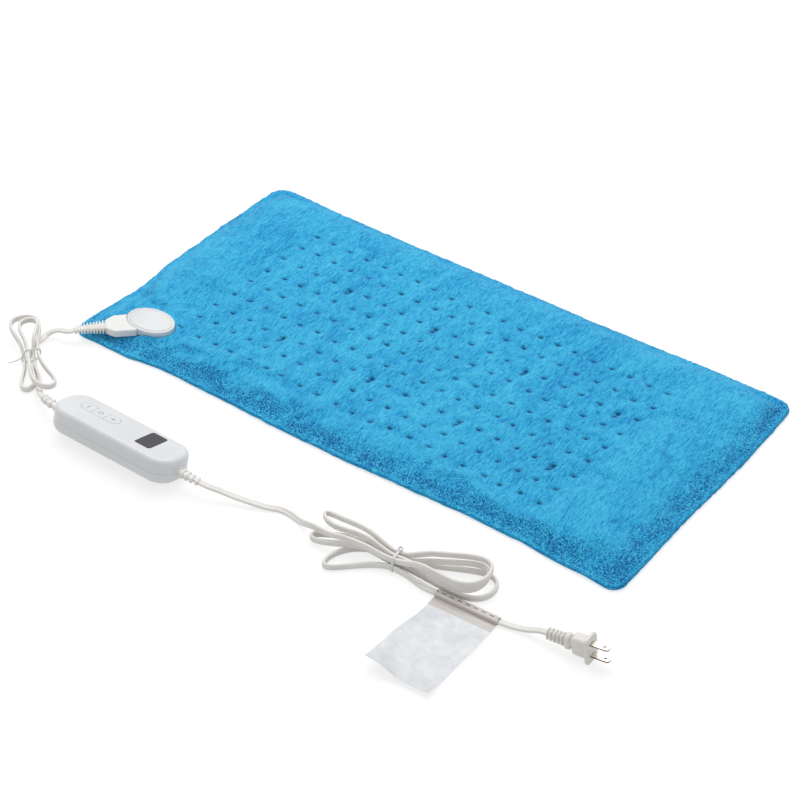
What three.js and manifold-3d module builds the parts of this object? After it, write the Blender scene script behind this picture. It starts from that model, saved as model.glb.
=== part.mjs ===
// Electric heating pad with a hand controller, its two cords, and a wall plug.
// Millimetres, +Z up. The origin is the centre of the pad's underside, on the floor.
// +X runs along the pad's long side and +Y along its short side, away from the controller.
import * as THREE from 'three';
import { mergeVertices } from 'three/addons/utils/BufferGeometryUtils.js';
import Module from 'manifold-3d';

const wasm = await Module();
wasm.setup();

// Clearances that the whole part shares
const gap = 0.3;
const weld = 0.4;
const overrun = 4;

// Pad: two fleece covers round a thin carrier with the heating wire
const padLength = 610;
const padWidth = 305;
const padCornerRadius = 18;
const padDrawIn = 1.5;
const padCrownHeight = 12;
const padEdgeHeight = 8;
const padCrownRun = 48;
const underCoverThickness = 3;
const underCoverEdge = 1.2;
const recessEndMargin = 20;
const recessSideMargin = 18.5;
const recessTop = 7;
const tuftLeftMargin = 99;
const tuftRightMargin = 103;
const tuftBackMargin = 58.5;
const tuftFrontMargin = 46.5;
const leftLeanShare = 0.097;
const rightLeanShare = 0.05;
const tuftDepth = 1.6;
const deepTuftDepth = 3;
const tuftColumnCount = 21;
const tuftRowCount = 9;
const deepColumns = [4, 9, 14, 19];
const deepRows = [2, 6];
const borderColumnShares = [0, 0.12, 0.5];
const borderRowShares = [0, 0.35];
const seatHeight = 9;
const seatReachX = 37.8;
const seatReachY = 23.6;
const carrierThickness = 0.8;
const carrierMargin = 3;
const carrierCornerRadius = 12;
const wireDiameter = 1.6;
const wireTurnRadius = 8;
const wireEndMargin = 45;
const wireReturnMargin = 23;
const wireStartReach = 30.8;
const wireEndReach = 19.6;
const wireRunCount = 8;
const thermostatLength = 14;
const thermostatWidth = 6.5;
const thermostatHeight = 2.2;
const thermostatPlaces = [-84, 92];
const thermostatRow = 4;

// Socket on the pad: an oval cover over a base that is clamped through the cloth
const socketEndMargin = 54.2;
const socketFrontMargin = 36.9;
const socketTurnDegrees = 5;
const socketHalfLength = 25.2;
const socketHalfWidth = 17.6;
const socketTop = 18;
const socketWall = 1.8;
const socketRoof = 1.6;
const socketEdge = 1.2;
const socketBaseThickness = 1.5;
const socketBaseInset = 0.6;
const clampInset = 3;
const clampLift = 0.8;
const clampThickness = 1.6;
const postRadius = 1.5;
const postSpacing = 26;
const postSink = 0.7;
const pinRadius = 0.85;
const pinSpacing = 6;
const pinStart = -6.5;
const pinEnd = 14;
const pinHeight = 13.3;
const pinBlockStart = -7;
const pinBlockEnd = 1;
const pinBlockWidth = 20;
const pinBlockTop = 16;
const pinPlaces = [-1, 0, 1];

// Connector: two shells round three sleeves, and a ribbed relief for the lead
const connectorTurnDegrees = 223;
const connectorTop = 17.3;
const connectorEdge = 0.8;
const connectorHalfWidth = 13;
const connectorShoulder = 35.3;
const connectorShoulderHalfWidth = 12.4;
const connectorTail = 43.3;
const connectorTailHalfWidth = 6.7;
const socketGap = 0.5;
const noseStart = 6.4;
const noseEnd = 26;
const noseHalfWidth = 9;
const noseHalfHeight = 2.2;
const noseLip = 1.3;
const sleeveRadius = 1.45;
const sleeveBore = 1.15;
const sleeveStart = 8;
const sleeveEnd = 20;
const connectorHollowStart = 27;
const connectorHollowEnd = 36;
const connectorHollowHalfWidth = 8.5;
const connectorHollowHalfHeight = 2.5;
const connectorReliefLength = 30.4;
const connectorReliefDrop = 1.2;
const connectorReliefWidths = [7.8, 4.4];
const connectorReliefHeights = [4.2, 2.8];
const connectorNeckHalfWidth = 4.1;
const connectorNeckHalfHeight = 2.1;
const connectorFlangeHalfWidth = 5.4;
const connectorFlangeHalfHeight = 2.9;
const connectorRibCount = 10;
const flangeThickness = 1.6;
const grooveShare = 0.8;

// Cords: flat, and wound up on edge in two tied hanks
const cordWidth = 6.2;
const leadThickness = 3.1;
const mainsThickness = 3.4;
const cordStep = 15;
const hankStepCount = 12;
const tieWidth = 2.4;
const tieThickness = 0.8;
const tieLow = 0.4;
const tieHigh = 15.8;
const tieCorner = 2;
const bandSpread = 1;
const tailLength = 12;
const selfDistance = 22;
const selfGapLeast = 0.4;

// The hanks: where the tie is, the slots [across, height] that the strands take through it,
// and the lobes between them [side, reach, half width, drift of the tip, height, tip height]
const leadHank = {
  x: -316,
  y: -215,
  turnDegrees: -42,
  sense: -1,
  climb: 17.5,
  thickness: leadThickness,
  slots: [[-1.94, 4.7], [-6.66, 4.7], [6.98, 11.4], [-2.92, 11.4], [2.71, 4.7]],
  lobes: [
    [1, 44.1, 5.02, -4.26, 3.4, 3.44],
    [-1, 57.03, 9.62, -1.93, 10.51, 10.52],
    [1, 56.97, 6.32, 9.43, 10.97, 13.83],
    [-1, 42.88, 6.85, 2.9, 17.49, 17.52],
  ],
  entry: [[-328.6, -186, 3.6], [-328.3, -192.5, 3.4], [-326.3, -200, 3.9], [-322.8, -208.2, 4]],
  exit: [
    [-305, -222, 4.2], [-296.1, -228.6, 3.5], [-288.2, -235.7, 3.5], [-280.1, -244.2, 4.7],
    [-273.5, -250, 7.4],
  ],
};
const mainsHank = {
  x: 130.5,
  y: -240,
  turnDegrees: 8,
  sense: 1,
  climb: 32.3,
  thickness: mainsThickness,
  slots: [[-5.44, 11.4], [4.66, 11.4], [-0.69, 11.4], [3.13, 4.7], [-1.69, 4.7], [8.41, 4.7], [-8.04, 4.7]],
  lobes: [
    [1, 83.82, 15, 11.98, 19.67, 17.4],
    [-1, 82.5, 4.2, 18.5, 20.81, 10.14],
    [1, 81.55, 15.98, 9.01, 11.46, 10.44],
    [-1, 81.99, 4.09, -5.94, 12.03, 5.03],
    [1, 90.41, 14, 6.04, 3.4, 3.49],
    [-1, 56.85, 7.93, -26.32, 3.4, 3.4],
  ],
  entry: [
    [-18, -252.5, 4.3], [-11.9, -250.4, 3.3], [-4, -246.9, 2.2], [4.9, -243.2, 1.9],
    [15.3, -242.7, 1.9], [29.7, -246.2, 3.5], [46.8, -251.5, 11.1],
    [66.5, -253.8, 14.5], [88.2, -253, 18.5], [107, -250.5, 17.5], [121, -248.1, 13.6],
  ],
  exit: [[144, -247, 3.5], [156, -248.8, 3.4], [167, -249.6, 2.7], [177, -249.3, 2.7]],
};
const leadRunPoints = [[-318.6, -171.8, 9.6], [-324.8, -174.6, 7]];
const mainsRunAPoints = [[-47.5, -261.8, 10], [-34, -257.8, 7]];
const mainsRunBPoints = [
  [212, -247.9, 2.7], [242, -246.7, 2.7], [257, -244.4, 2.9], [268, -242.3, 4.6],
];
const straightEnd = 6.2;

// The loose set is measured from a point this far from the socket
const looseReachX = 250.8;
const looseReachY = 115.6;

// Controller: a two-part housing, rolled back onto its lower edge, with keys, display and board
const controllerX = -160.9;
const controllerY = -265.9;
const controllerTurnDegrees = -1.6;
const controllerRollDegrees = -16;
const controllerLength = 143;
const controllerWidth = 46;
const controllerHeight = 26;
const controllerCorner = 19;
const partingHeight = 12;
const shellWall = 2.2;
const ceilingWall = 2.4;
const topEdge = 4.5;
const bottomEdge = 8;
const hollowTopEdge = 3;
const hollowBottomEdge = 6;
const keysEndMargin = 43;
const keysY = 3.1;
const keysLength = 45;
const keysWidth = 12.5;
const keyProud = 0.3;
const keyLip = 1;
const keyLipThickness = 1;
const keyStemRadius = 1.5;
const keyFreeTravel = 0.6;
const displayEndMargin = 38.1;
const displayY = 2.1;
const windowLength = 18;
const windowWidth = 27;
const windowThickness = 1.1;
const windowCorner = 2.5;
const windowLedge = 1.6;
const boardEndMargin = 25.5;
const boardSideMargin = 6;
const boardThickness = 1.6;
const boardHeight = 13;
const boardCorner = 1;
const boardRibInset = 6;
const boardRibWidth = 30;
const switchSide = 6;
const switchHeight = 3.5;
const plungerRadius = 1.6;
const plungerHeight = 1.5;
const screwEndMargin = 19.5;
const screwSideMargin = 9.5;
const bossRadius = 4;
const screwHeadRadius = 2.7;
const screwHeadLow = 1.2;
const screwHeadHigh = 2.7;
const screwShankRadius = 1.2;
const screwShankHigh = 16;
const fuseLength = 20;
const fuseRadius = 2.6;
const fuseMargin = 6.4;
const fuseY = -9;
const capacitorLength = 6;
const capacitorWidth = 13;
const capacitorHeight = 7.5;
const capacitorMargin = 5.5;
const capacitorY = 6;
const triacLength = 10;
const triacWidth = 4.5;
const triacHeight = 8;
const triacX = -22;
const triacY = -11;
const partEdge = 0.5;

// Reliefs at the controller's two ends
const glandWidths = [4.8, 3.9];
const glandHeights = [3.9, 2.8];
const glandNeckHalfWidth = 3.4;
const glandNeckHalfHeight = 2.6;
const glandFlangeHalfWidth = 5.2;
const glandFlangeHalfHeight = 4.4;
const leadGlandStraight = 14;
const leadGlandReach = 29;
const leadGlandSwing = 6.6;
const leadGlandDrop = 2.2;
const mainsGlandStraight = 12;
const mainsGlandReach = 23;
const mainsGlandSwing = 2;
const mainsGlandDrop = 1.2;
const glandRibCount = 5;

// Tag folded round the mains cord, its tail as [across, height] away from the cord
const tagX = 210.8;
const tagY = -247.95;
const tagTurnDegrees = 2.3;
const tagWidth = 63;
const tagThickness = 0.45;
const tagCordHeight = 2.7;
const tagTail = [
  [-8, 1.5], [-16, 0.8], [-30, 1.8], [-45, 2.9], [-60, 2.3], [-76, 1], [-88, 1.9], [-97, 4.8],
];

// Plug with two flat blades, one above the other
const plugX = 329.5;
const plugY = -237.5;
const plugZ = 13.85;
const plugTurnDegrees = 3;
const plugPitchDegrees = 6;
const plugFlangeThickness = 3;
const plugFlangeHeight = 27;
const plugFlangeWidth = 17;
const plugFlangeCorner = 7;
const plugBodyLength = 13;
const plugBodyHeight = 19;
const plugBodyWidth = 12;
const plugBodyCorner = 4;
const plugCollarLength = 5;
const plugCollarHeight = 12;
const plugCollarWidth = 9.5;
const plugCollarCorner = 4;
const plugEdge = 1;
const plugReliefLength = 21;
const plugReliefWidths = [4, 4];
const plugReliefHeights = [4.8, 5.2];
const plugRibCount = 5;
const plugNeckHalfWidth = 2.6;
const plugNeckHalfHeight = 3.6;
const plugNeckSink = 3;
const bladeSpacing = 12.7;
const bladeWidth = 6.35;
const bladeThickness = 1.5;
const bladeReach = 17;
const bladeSeat = 6;
const bladeNose = 1.4;
const bladeHoleRadius = 1.5;
const bladeHoleBack = 4.5;

const upward = new THREE.Vector3(0, 0, 1);
const model = new THREE.Group();

// A body drawn as a [y, z] outline and pulled along X
const alongX = new THREE.Matrix4().makeBasis(
  new THREE.Vector3(0, 1, 0),
  new THREE.Vector3(0, 0, 1),
  new THREE.Vector3(1, 0, 0),
);

// Finishes, as colour, roughness and metalness
function finish(color, roughness, metalness = 0) {
  return () => new THREE.MeshStandardMaterial({ color, roughness, metalness });
}
const fleece = finish(0x1f97d4, 0.95);
const underFleece = finish(0x1b86c2, 0.95);
const feltCloth = finish(0xe9e6dd, 0.95);
const wireSilicone = finish(0xc9523c, 0.6);
const whiteGloss = finish(0xeef0f2, 0.28);
const whiteSatin = finish(0xe9e8e4, 0.42);
const cordVinyl = finish(0xdad7cf, 0.5);
const tieWhite = finish(0xe6e6e6, 0.5);
const boardGreen = finish(0x2c6b45, 0.6);
const partBlack = finish(0x26272b, 0.5);
const partBlue = finish(0x2f5f9e, 0.5);
const glassSmoke = finish(0x5a5560, 0.15);
const glassClear = finish(0xd5dcdc, 0.15);
const tagPaper = finish(0xf0f1f1, 0.6);
const nickel = finish(0xb9b7b2, 0.3, 1);
const brass = finish(0xc4a35a, 0.35, 1);

function addPiece(group, name, geometry, material) {
  const mesh = new THREE.Mesh(geometry, material());
  mesh.name = name;
  group.add(mesh);
}

function placedGroup(parent, x, y, z, turnDegrees = 0) {
  const group = new THREE.Group();
  group.position.set(x, y, z);
  group.rotation.z = THREE.MathUtils.degToRad(turnDegrees);
  parent.add(group);
  return group;
}

// Closed bodies, their joins and their cuts
function solidOf(geometry) {
  const bare = geometry.clone();
  bare.deleteAttribute('normal');
  bare.deleteAttribute('uv');
  const merged = mergeVertices(bare);
  return new wasm.Manifold(new wasm.Mesh({
    numProp: 3,
    vertProperties: new Float32Array(merged.attributes.position.array),
    triVerts: new Uint32Array(merged.index.array),
  }));
}

function geometryOf(solid) {
  const mesh = solid.getMesh();
  const geometry = new THREE.BufferGeometry();
  geometry.setAttribute('position', new THREE.BufferAttribute(mesh.vertProperties, 3));
  geometry.setIndex(new THREE.BufferAttribute(mesh.triVerts, 1));
  geometry.computeVertexNormals();
  return geometry;
}

function join(...geometries) {
  return geometryOf(geometries.map(solidOf).reduce((whole, piece) => whole.add(piece)));
}

function cut(geometry, ...tools) {
  return geometryOf(tools.map(solidOf).reduce((whole, tool) => whole.subtract(tool), solidOf(geometry)));
}

function common(geometry, bounds) {
  return geometryOf(solidOf(geometry).intersect(solidOf(bounds)));
}

function smooth(value) {
  const t = THREE.MathUtils.clamp(value, 0, 1);
  return t * t * (3 - 2 * t);
}

function mix(from, to, share) {
  return from + (to - from) * share;
}

// Outlines
function roundedOutline(length, width, radius) {
  const shape = new THREE.Shape();
  const x = length / 2 - radius;
  const y = width / 2 - radius;
  shape.absarc(x, y, radius, 0, Math.PI / 2);
  shape.absarc(-x, y, radius, Math.PI / 2, Math.PI);
  shape.absarc(-x, -y, radius, Math.PI, 1.5 * Math.PI);
  shape.absarc(x, -y, radius, 1.5 * Math.PI, 2 * Math.PI);
  return shape;
}

function pillOutline(length, width) {
  const shape = new THREE.Shape();
  const x = (length - width) / 2;
  shape.absarc(x, 0, width / 2, -Math.PI / 2, Math.PI / 2);
  shape.absarc(-x, 0, width / 2, Math.PI / 2, 1.5 * Math.PI);
  return shape;
}

function ovalOutline(halfLength, halfWidth, turn) {
  const shape = new THREE.Shape();
  shape.absellipse(0, 0, halfLength, halfWidth, 0, 2 * Math.PI, false, turn);
  return shape;
}

function outlineOf(points) {
  return new THREE.Shape(points.map(([x, y]) => new THREE.Vector2(x, y)));
}

// An eight-sided rounded bar section, and a six-sided flat cord section, as [across, up]
function barSection(halfWidth, halfHeight) {
  const cornerShare = 0.5;
  const corners = [[1, cornerShare], [cornerShare, 1], [-cornerShare, 1], [-1, cornerShare]];
  return [...corners, ...corners.map(([a, b]) => [-a, -b])].map(([a, b]) => [a * halfWidth, b * halfHeight]);
}

function flatSection(width, thickness) {
  const corners = [[1, 0], [0.5, 1], [-0.5, 1], [-1, 0], [-0.5, -1], [0.5, -1]];
  return corners.map(([a, b]) => [a * width / 2, b * thickness / 2]);
}

// A plate from low to high, its outline kept at mid-height and both its rims rounded by edge
function plate(shape, low, high, edge = 0, curveSegments = 6, edgeSegments = 2) {
  const geometry = new THREE.ExtrudeGeometry(shape, {
    depth: high - low - 2 * edge,
    curveSegments,
    bevelEnabled: edge > 0,
    bevelThickness: edge,
    bevelSize: edge,
    bevelOffset: -edge,
    bevelSegments: edgeSegments,
  });
  return geometry.translate(0, 0, low + edge);
}

function block(length, width, low, high, x = 0, y = 0) {
  return new THREE.BoxGeometry(length, width, high - low).translate(x, y, (low + high) / 2);
}

function blockAlong(start, end, halfWidth, low, high) {
  return block(end - start, 2 * halfWidth, low, high, (start + end) / 2);
}

function postAt(x, y, radius, low, high, sides = 12) {
  const post = new THREE.CylinderGeometry(radius, radius, high - low, sides).rotateX(Math.PI / 2);
  return post.translate(x, y, (low + high) / 2);
}

function rodAlong(radius, start, end, y, z, sides = 10) {
  const rod = new THREE.CylinderGeometry(radius, radius, end - start, sides).rotateZ(Math.PI / 2);
  return rod.translate((start + end) / 2, y, z);
}

function barAlong(halfWidth, halfHeight, start, end, z) {
  const bar = plate(outlineOf(barSection(halfWidth, halfHeight)), start, end);
  return bar.applyMatrix4(alongX).translate(0, 0, z);
}

// A row of centres as a path, its sections kept upright and turned about it by leanAt(share)
class UprightPath extends THREE.Curve {
  constructor(centres, leanAt = () => 0) {
    super();
    this.centres = centres;
    this.leanAt = leanAt;
  }

  getPoint(share) {
    return this.centres[Math.round(share * (this.centres.length - 1))].clone();
  }

  getSpacedPoints() {
    return this.centres;
  }

  computeFrenetFrames() {
    const last = this.centres.length - 1;
    const tangents = this.centres.map((centre, k) => (
      this.centres[Math.min(k + 1, last)].clone().sub(this.centres[Math.max(k - 1, 0)]).normalize()
    ));
    const sides = tangents.map((tangent) => new THREE.Vector3().crossVectors(tangent, upward).normalize());
    const normals = sides.map((side, k) => (
      side.clone().applyAxisAngle(tangents[k], this.leanAt(k / last))
    ));
    const binormals = normals.map((normal, k) => new THREE.Vector3().crossVectors(tangents[k], normal));
    return { tangents, normals, binormals };
  }
}

function sweep(centres, section, leanAt) {
  return new THREE.ExtrudeGeometry(outlineOf(section), {
    steps: centres.length - 1,
    extrudePath: new UprightPath(centres, leanAt),
    bevelEnabled: false,
  });
}

function vectorOf([x, y, z]) {
  return new THREE.Vector3(x, y, z);
}

function smoothRow(points, stepLength) {
  const curve = new THREE.CatmullRomCurve3(points, false, 'centripetal');
  return curve.getSpacedPoints(Math.max(2, Math.round(curve.getLength() / stepLength)));
}

// A closed surface from points and triangles, turned so that its faces point out
function closedSurface(points, triangles) {
  const volume = triangles.reduce((sum, [a, b, c]) => (
    sum + points[a].dot(new THREE.Vector3().crossVectors(points[b], points[c]))
  ), 0);
  const order = volume > 0 ? triangles : triangles.map(([a, b, c]) => [a, c, b]);
  const geometry = new THREE.BufferGeometry();
  geometry.setAttribute('position', new THREE.Float32BufferAttribute(points.flatMap((p) => [p.x, p.y, p.z]), 3));
  geometry.setIndex(order.flat());
  geometry.computeVertexNormals();
  return geometry;
}

// A ribbed relief along centres: each rib is a wide ring and a narrow one
function ribbedRelief(centres, widths, heights) {
  const frames = new UprightPath(centres).computeFrenetFrames();
  const last = centres.length - 1;
  const sides = barSection(1, 1).length;
  const points = centres.flatMap((centre, k) => {
    const share = k / last;
    const size = k % 2 === 0 || k === last ? 1 : grooveShare;
    const section = barSection(mix(...widths, share) * size, mix(...heights, share) * size);
    return section.map(([across, up]) => (
      centre.clone().addScaledVector(frames.normals[k], across).addScaledVector(frames.binormals[k], up)
    ));
  });
  const triangles = [];
  for (let k = 0; k < last; k += 1) {
    for (let m = 0; m < sides; m += 1) {
      const near = k * sides;
      const next = (m + 1) % sides;
      triangles.push([near + m, near + next, near + sides + next]);
      triangles.push([near + m, near + sides + next, near + sides + m]);
    }
  }
  const far = last * sides;
  for (let m = 1; m < sides - 1; m += 1) {
    triangles.push([0, m + 1, m], [far, far + m, far + m + 1]);
  }
  return closedSurface(points, triangles);
}

// Centres along a bent relief, from a wall to its tip
function reliefRow(start, bend, tip, ribCount) {
  return new THREE.QuadraticBezierCurve3(start, bend, tip).getSpacedPoints(2 * ribCount);
}

// Pad: the places that follow its edges
const recessLength = padLength - 2 * recessEndMargin;
const recessWidth = padWidth - 2 * recessSideMargin;
const tuftFieldLeft = tuftLeftMargin - padLength / 2;
const tuftFieldRight = padLength / 2 - tuftRightMargin;
const tuftFieldBack = padWidth / 2 - tuftBackMargin;
const tuftFieldFront = tuftFrontMargin - padWidth / 2;
const tuftRowPitch = (tuftFieldBack - tuftFieldFront) / (tuftRowCount - 1);
const tuftColumnLines = 2 * (tuftColumnCount - 1);
const tuftRowLines = 2 * (tuftRowCount - 1);
const socketX = socketEndMargin - padLength / 2;
const socketY = socketFrontMargin - padWidth / 2;
const loose = placedGroup(model, socketX + looseReachX, socketY + looseReachY, 0);

// Pad: the outline's rounded corners, the quilted top, and the two cloths

function roundedPlace(x, y) {
  const cornerX = padLength / 2 - padCornerRadius;
  const cornerY = padWidth / 2 - padCornerRadius;
  const dx = Math.abs(x) - cornerX;
  const dy = Math.abs(y) - cornerY;
  if (dx <= 0 || dy <= 0) return [x, y];
  const draw = Math.max(dx, dy) / Math.hypot(dx, dy);
  return [Math.sign(x) * (cornerX + dx * draw), Math.sign(y) * (cornerY + dy * draw)];
}

function tuftAt(column, row) {
  if (column % 2 !== 0 || row % 2 !== 0) return 0;
  if (column < 0 || column > tuftColumnLines || row < 0 || row > tuftRowLines) return 0;
  return deepColumns.includes(column / 2) && deepRows.includes(row / 2) ? deepTuftDepth : tuftDepth;
}

function padHeight(x, y, column, row) {
  const inward = Math.min(padLength / 2 - Math.abs(x), padWidth / 2 - Math.abs(y));
  const crown = mix(padEdgeHeight, padCrownHeight, smooth(inward / padCrownRun));
  const height = crown - tuftAt(column, row);
  const onSeat = x < socketX + seatReachX && y < socketY + seatReachY;
  return onSeat ? Math.min(height, seatHeight) : height;
}

function gridLines(shares, low, first, last, high, lineCount) {
  const lead = shares.map((share) => mix(low, first, share));
  const inner = Array.from({ length: lineCount + 1 }, (_, k) => mix(first, last, k / lineCount));
  return [...lead, ...inner, ...shares.map((share) => mix(high, last, share)).reverse()];
}

function quiltedTop(underside) {
  const rows = gridLines(borderRowShares, padWidth / 2, tuftFieldBack, tuftFieldFront, -padWidth / 2, tuftRowLines);
  const points = [];
  rows.forEach((y, j) => {
    const left = tuftFieldLeft - (tuftFieldBack - y) * leftLeanShare;
    const right = tuftFieldRight - (tuftFieldBack - y) * rightLeanShare;
    const columns = gridLines(borderColumnShares, -padLength / 2, left, right, padLength / 2, tuftColumnLines);
    columns.forEach((x, i) => {
      const [placeX, placeY] = roundedPlace(x, y);
      const column = i - borderColumnShares.length;
      const row = j - borderRowShares.length;
      points.push(new THREE.Vector3(placeX, placeY, padHeight(placeX, placeY, column, row)));
    });
  });
  const width = points.length / rows.length;
  const triangles = [];
  for (let j = 0; j < rows.length - 1; j += 1) {
    for (let i = 0; i < width - 1; i += 1) {
      const a = j * width + i;
      triangles.push([a, a + width, a + width + 1], [a, a + width + 1, a + 1]);
    }
  }
  const rim = [];
  for (let i = 0; i < width - 1; i += 1) rim.push(i);
  for (let j = 0; j < rows.length - 1; j += 1) rim.push(j * width + width - 1);
  for (let i = width - 1; i > 0; i -= 1) rim.push((rows.length - 1) * width + i);
  for (let j = rows.length - 1; j > 0; j -= 1) rim.push(j * width);
  const lower = points.length;
  rim.forEach((index) => points.push(points[index].clone().setZ(underside)));
  const centre = points.length;
  points.push(new THREE.Vector3(0, 0, underside));
  rim.forEach((index, k) => {
    const next = (k + 1) % rim.length;
    triangles.push([index, rim[next], lower + next], [index, lower + next, lower + k]);
    triangles.push([lower + k, lower + next, centre]);
  });
  return closedSurface(points, triangles);
}

function socketPost(sign, radius, low, high) {
  const turn = THREE.MathUtils.degToRad(socketTurnDegrees);
  const reach = sign * postSpacing / 2;
  return postAt(socketX + reach * Math.cos(turn), socketY + reach * Math.sin(turn), radius, low, high);
}

const coverUnderside = underCoverThickness + gap;
const carrierTop = coverUnderside + carrierThickness;
const partsLow = carrierTop + gap;

function addPadCloths() {
  const recess = block(recessLength, recessWidth, 0, recessTop);
  const postHoles = [-1, 1].map((sign) => socketPost(sign, postRadius + weld, 0, padCrownHeight));
  addPiece(model, 'pad_cover_top', cut(quiltedTop(coverUnderside), recess, ...postHoles), fleece);
  const underOutline = roundedOutline(
    padLength - 2 * padDrawIn,
    padWidth - 2 * padDrawIn,
    padCornerRadius - padDrawIn,
  );
  addPiece(model, 'pad_cover_bottom', plate(underOutline, 0, underCoverThickness, underCoverEdge), underFleece);
  const carrierOutline = roundedOutline(
    recessLength - 2 * carrierMargin,
    recessWidth - 2 * carrierMargin,
    carrierCornerRadius,
  );
  addPiece(model, 'heater_carrier', plate(carrierOutline, coverUnderside, carrierTop, 0, 3), feltCloth);
}

// Heating wire: a serpentine between the tuft rows, both its ends at the socket
function roundedRoute(points, radius) {
  const row = [points[0]];
  for (let k = 1; k < points.length - 1; k += 1) {
    const before = points[k].clone().sub(points[k - 1]).normalize();
    const after = points[k + 1].clone().sub(points[k]).normalize();
    const start = points[k].clone().addScaledVector(before, -radius);
    const end = points[k].clone().addScaledVector(after, radius);
    const middle = new THREE.QuadraticBezierCurve3(start, points[k], end).getPoint(0.5);
    row.push(start, middle, end);
  }
  return [...row, points[points.length - 1]];
}

function addHeatingWire() {
  const z = partsLow + wireDiameter / 2;
  const reach = recessLength / 2 - wireEndMargin;
  const returnX = wireReturnMargin - recessLength / 2;
  const corners = [new THREE.Vector3(socketX + wireStartReach, tuftFieldFront + tuftRowPitch / 2, z)];
  for (let k = 0; k < wireRunCount; k += 1) {
    const y = tuftFieldFront + (k + 0.5) * tuftRowPitch;
    const side = k % 2 === 0 ? 1 : -1;
    if (k > 0) corners.push(new THREE.Vector3(-side * reach, y, z));
    if (k < wireRunCount - 1) corners.push(new THREE.Vector3(side * reach, y, z));
  }
  const lastY = tuftFieldFront + (wireRunCount - 0.5) * tuftRowPitch;
  corners.push(new THREE.Vector3(returnX, lastY, z), new THREE.Vector3(returnX, socketY + wireEndReach, z));
  const section = Array.from({ length: 6 }, (_, k) => {
    const angle = k * Math.PI / 3;
    return [Math.cos(angle) * wireDiameter / 2, Math.sin(angle) * wireDiameter / 2];
  });
  addPiece(model, 'heating_wire', sweep(roundedRoute(corners, wireTurnRadius), section), wireSilicone);
  const thermostatY = tuftFieldFront + thermostatRow * tuftRowPitch;
  thermostatPlaces.forEach((x, k) => {
    const body = block(thermostatLength, thermostatWidth, partsLow, partsLow + thermostatHeight, x, thermostatY);
    addPiece(model, `thermostat_${k + 1}`, body, partBlack);
  });
}

// Socket and connector share a frame: its X runs from the cover's centre along the connector
const socketFrame = placedGroup(model, socketX, socketY, 0, connectorTurnDegrees);
const ovalTurn = THREE.MathUtils.degToRad(socketTurnDegrees - connectorTurnDegrees);
const baseLow = seatHeight + gap;
const baseTop = baseLow + socketBaseThickness;
const coverLow = baseTop + gap;

function ovalPlate(inset, low, high, edge) {
  const outline = ovalOutline(socketHalfLength - inset, socketHalfWidth - inset, ovalTurn);
  return plate(outline, low, high, edge, 20);
}

function framedPost(sign, radius, low, high) {
  const reach = sign * postSpacing / 2;
  return postAt(reach * Math.cos(ovalTurn), reach * Math.sin(ovalTurn), radius, low, high);
}

function addSocket() {
  const clampLow = carrierTop + clampLift;
  const clampHigh = clampLow + clampThickness;
  const postTop = baseLow + postSink;
  const posts = [-1, 1].map((sign) => framedPost(sign, postRadius, clampHigh - weld, postTop));
  addPiece(socketFrame, 'socket_clamp_plate', join(ovalPlate(clampInset, clampLow, clampHigh), ...posts), whiteSatin);
  const postHoles = [-1, 1].map((sign) => framedPost(sign, postRadius + gap, 0, postTop + gap));
  const pinBlock = blockAlong(pinBlockStart, pinBlockEnd, pinBlockWidth / 2, baseTop - weld, pinBlockTop);
  const pinHoles = pinPlaces.map((place) => (
    rodAlong(pinRadius + gap, pinBlockStart - overrun, pinBlockEnd + overrun, place * pinSpacing, pinHeight)
  ));
  const base = cut(join(ovalPlate(socketBaseInset, baseLow, baseTop), pinBlock), ...postHoles, ...pinHoles);
  addPiece(socketFrame, 'socket_base', base, whiteSatin);
  const hollow = ovalPlate(socketWall, 0, socketTop - socketRoof);
  const notch = blockAlong(
    pinBlockEnd,
    socketHalfLength + overrun,
    noseHalfWidth + gap,
    0,
    pinHeight + noseHalfHeight + gap,
  );
  const cover = cut(ovalPlate(0, coverLow, socketTop, socketEdge), hollow, notch);
  addPiece(socketFrame, 'socket_cover', cover, whiteGloss);
  pinPlaces.forEach((place, k) => {
    const pin = rodAlong(pinRadius, pinStart, pinEnd, place * pinSpacing, pinHeight, 8);
    addPiece(socketFrame, `socket_pin_${k + 1}`, pin, nickel);
  });
}

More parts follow.
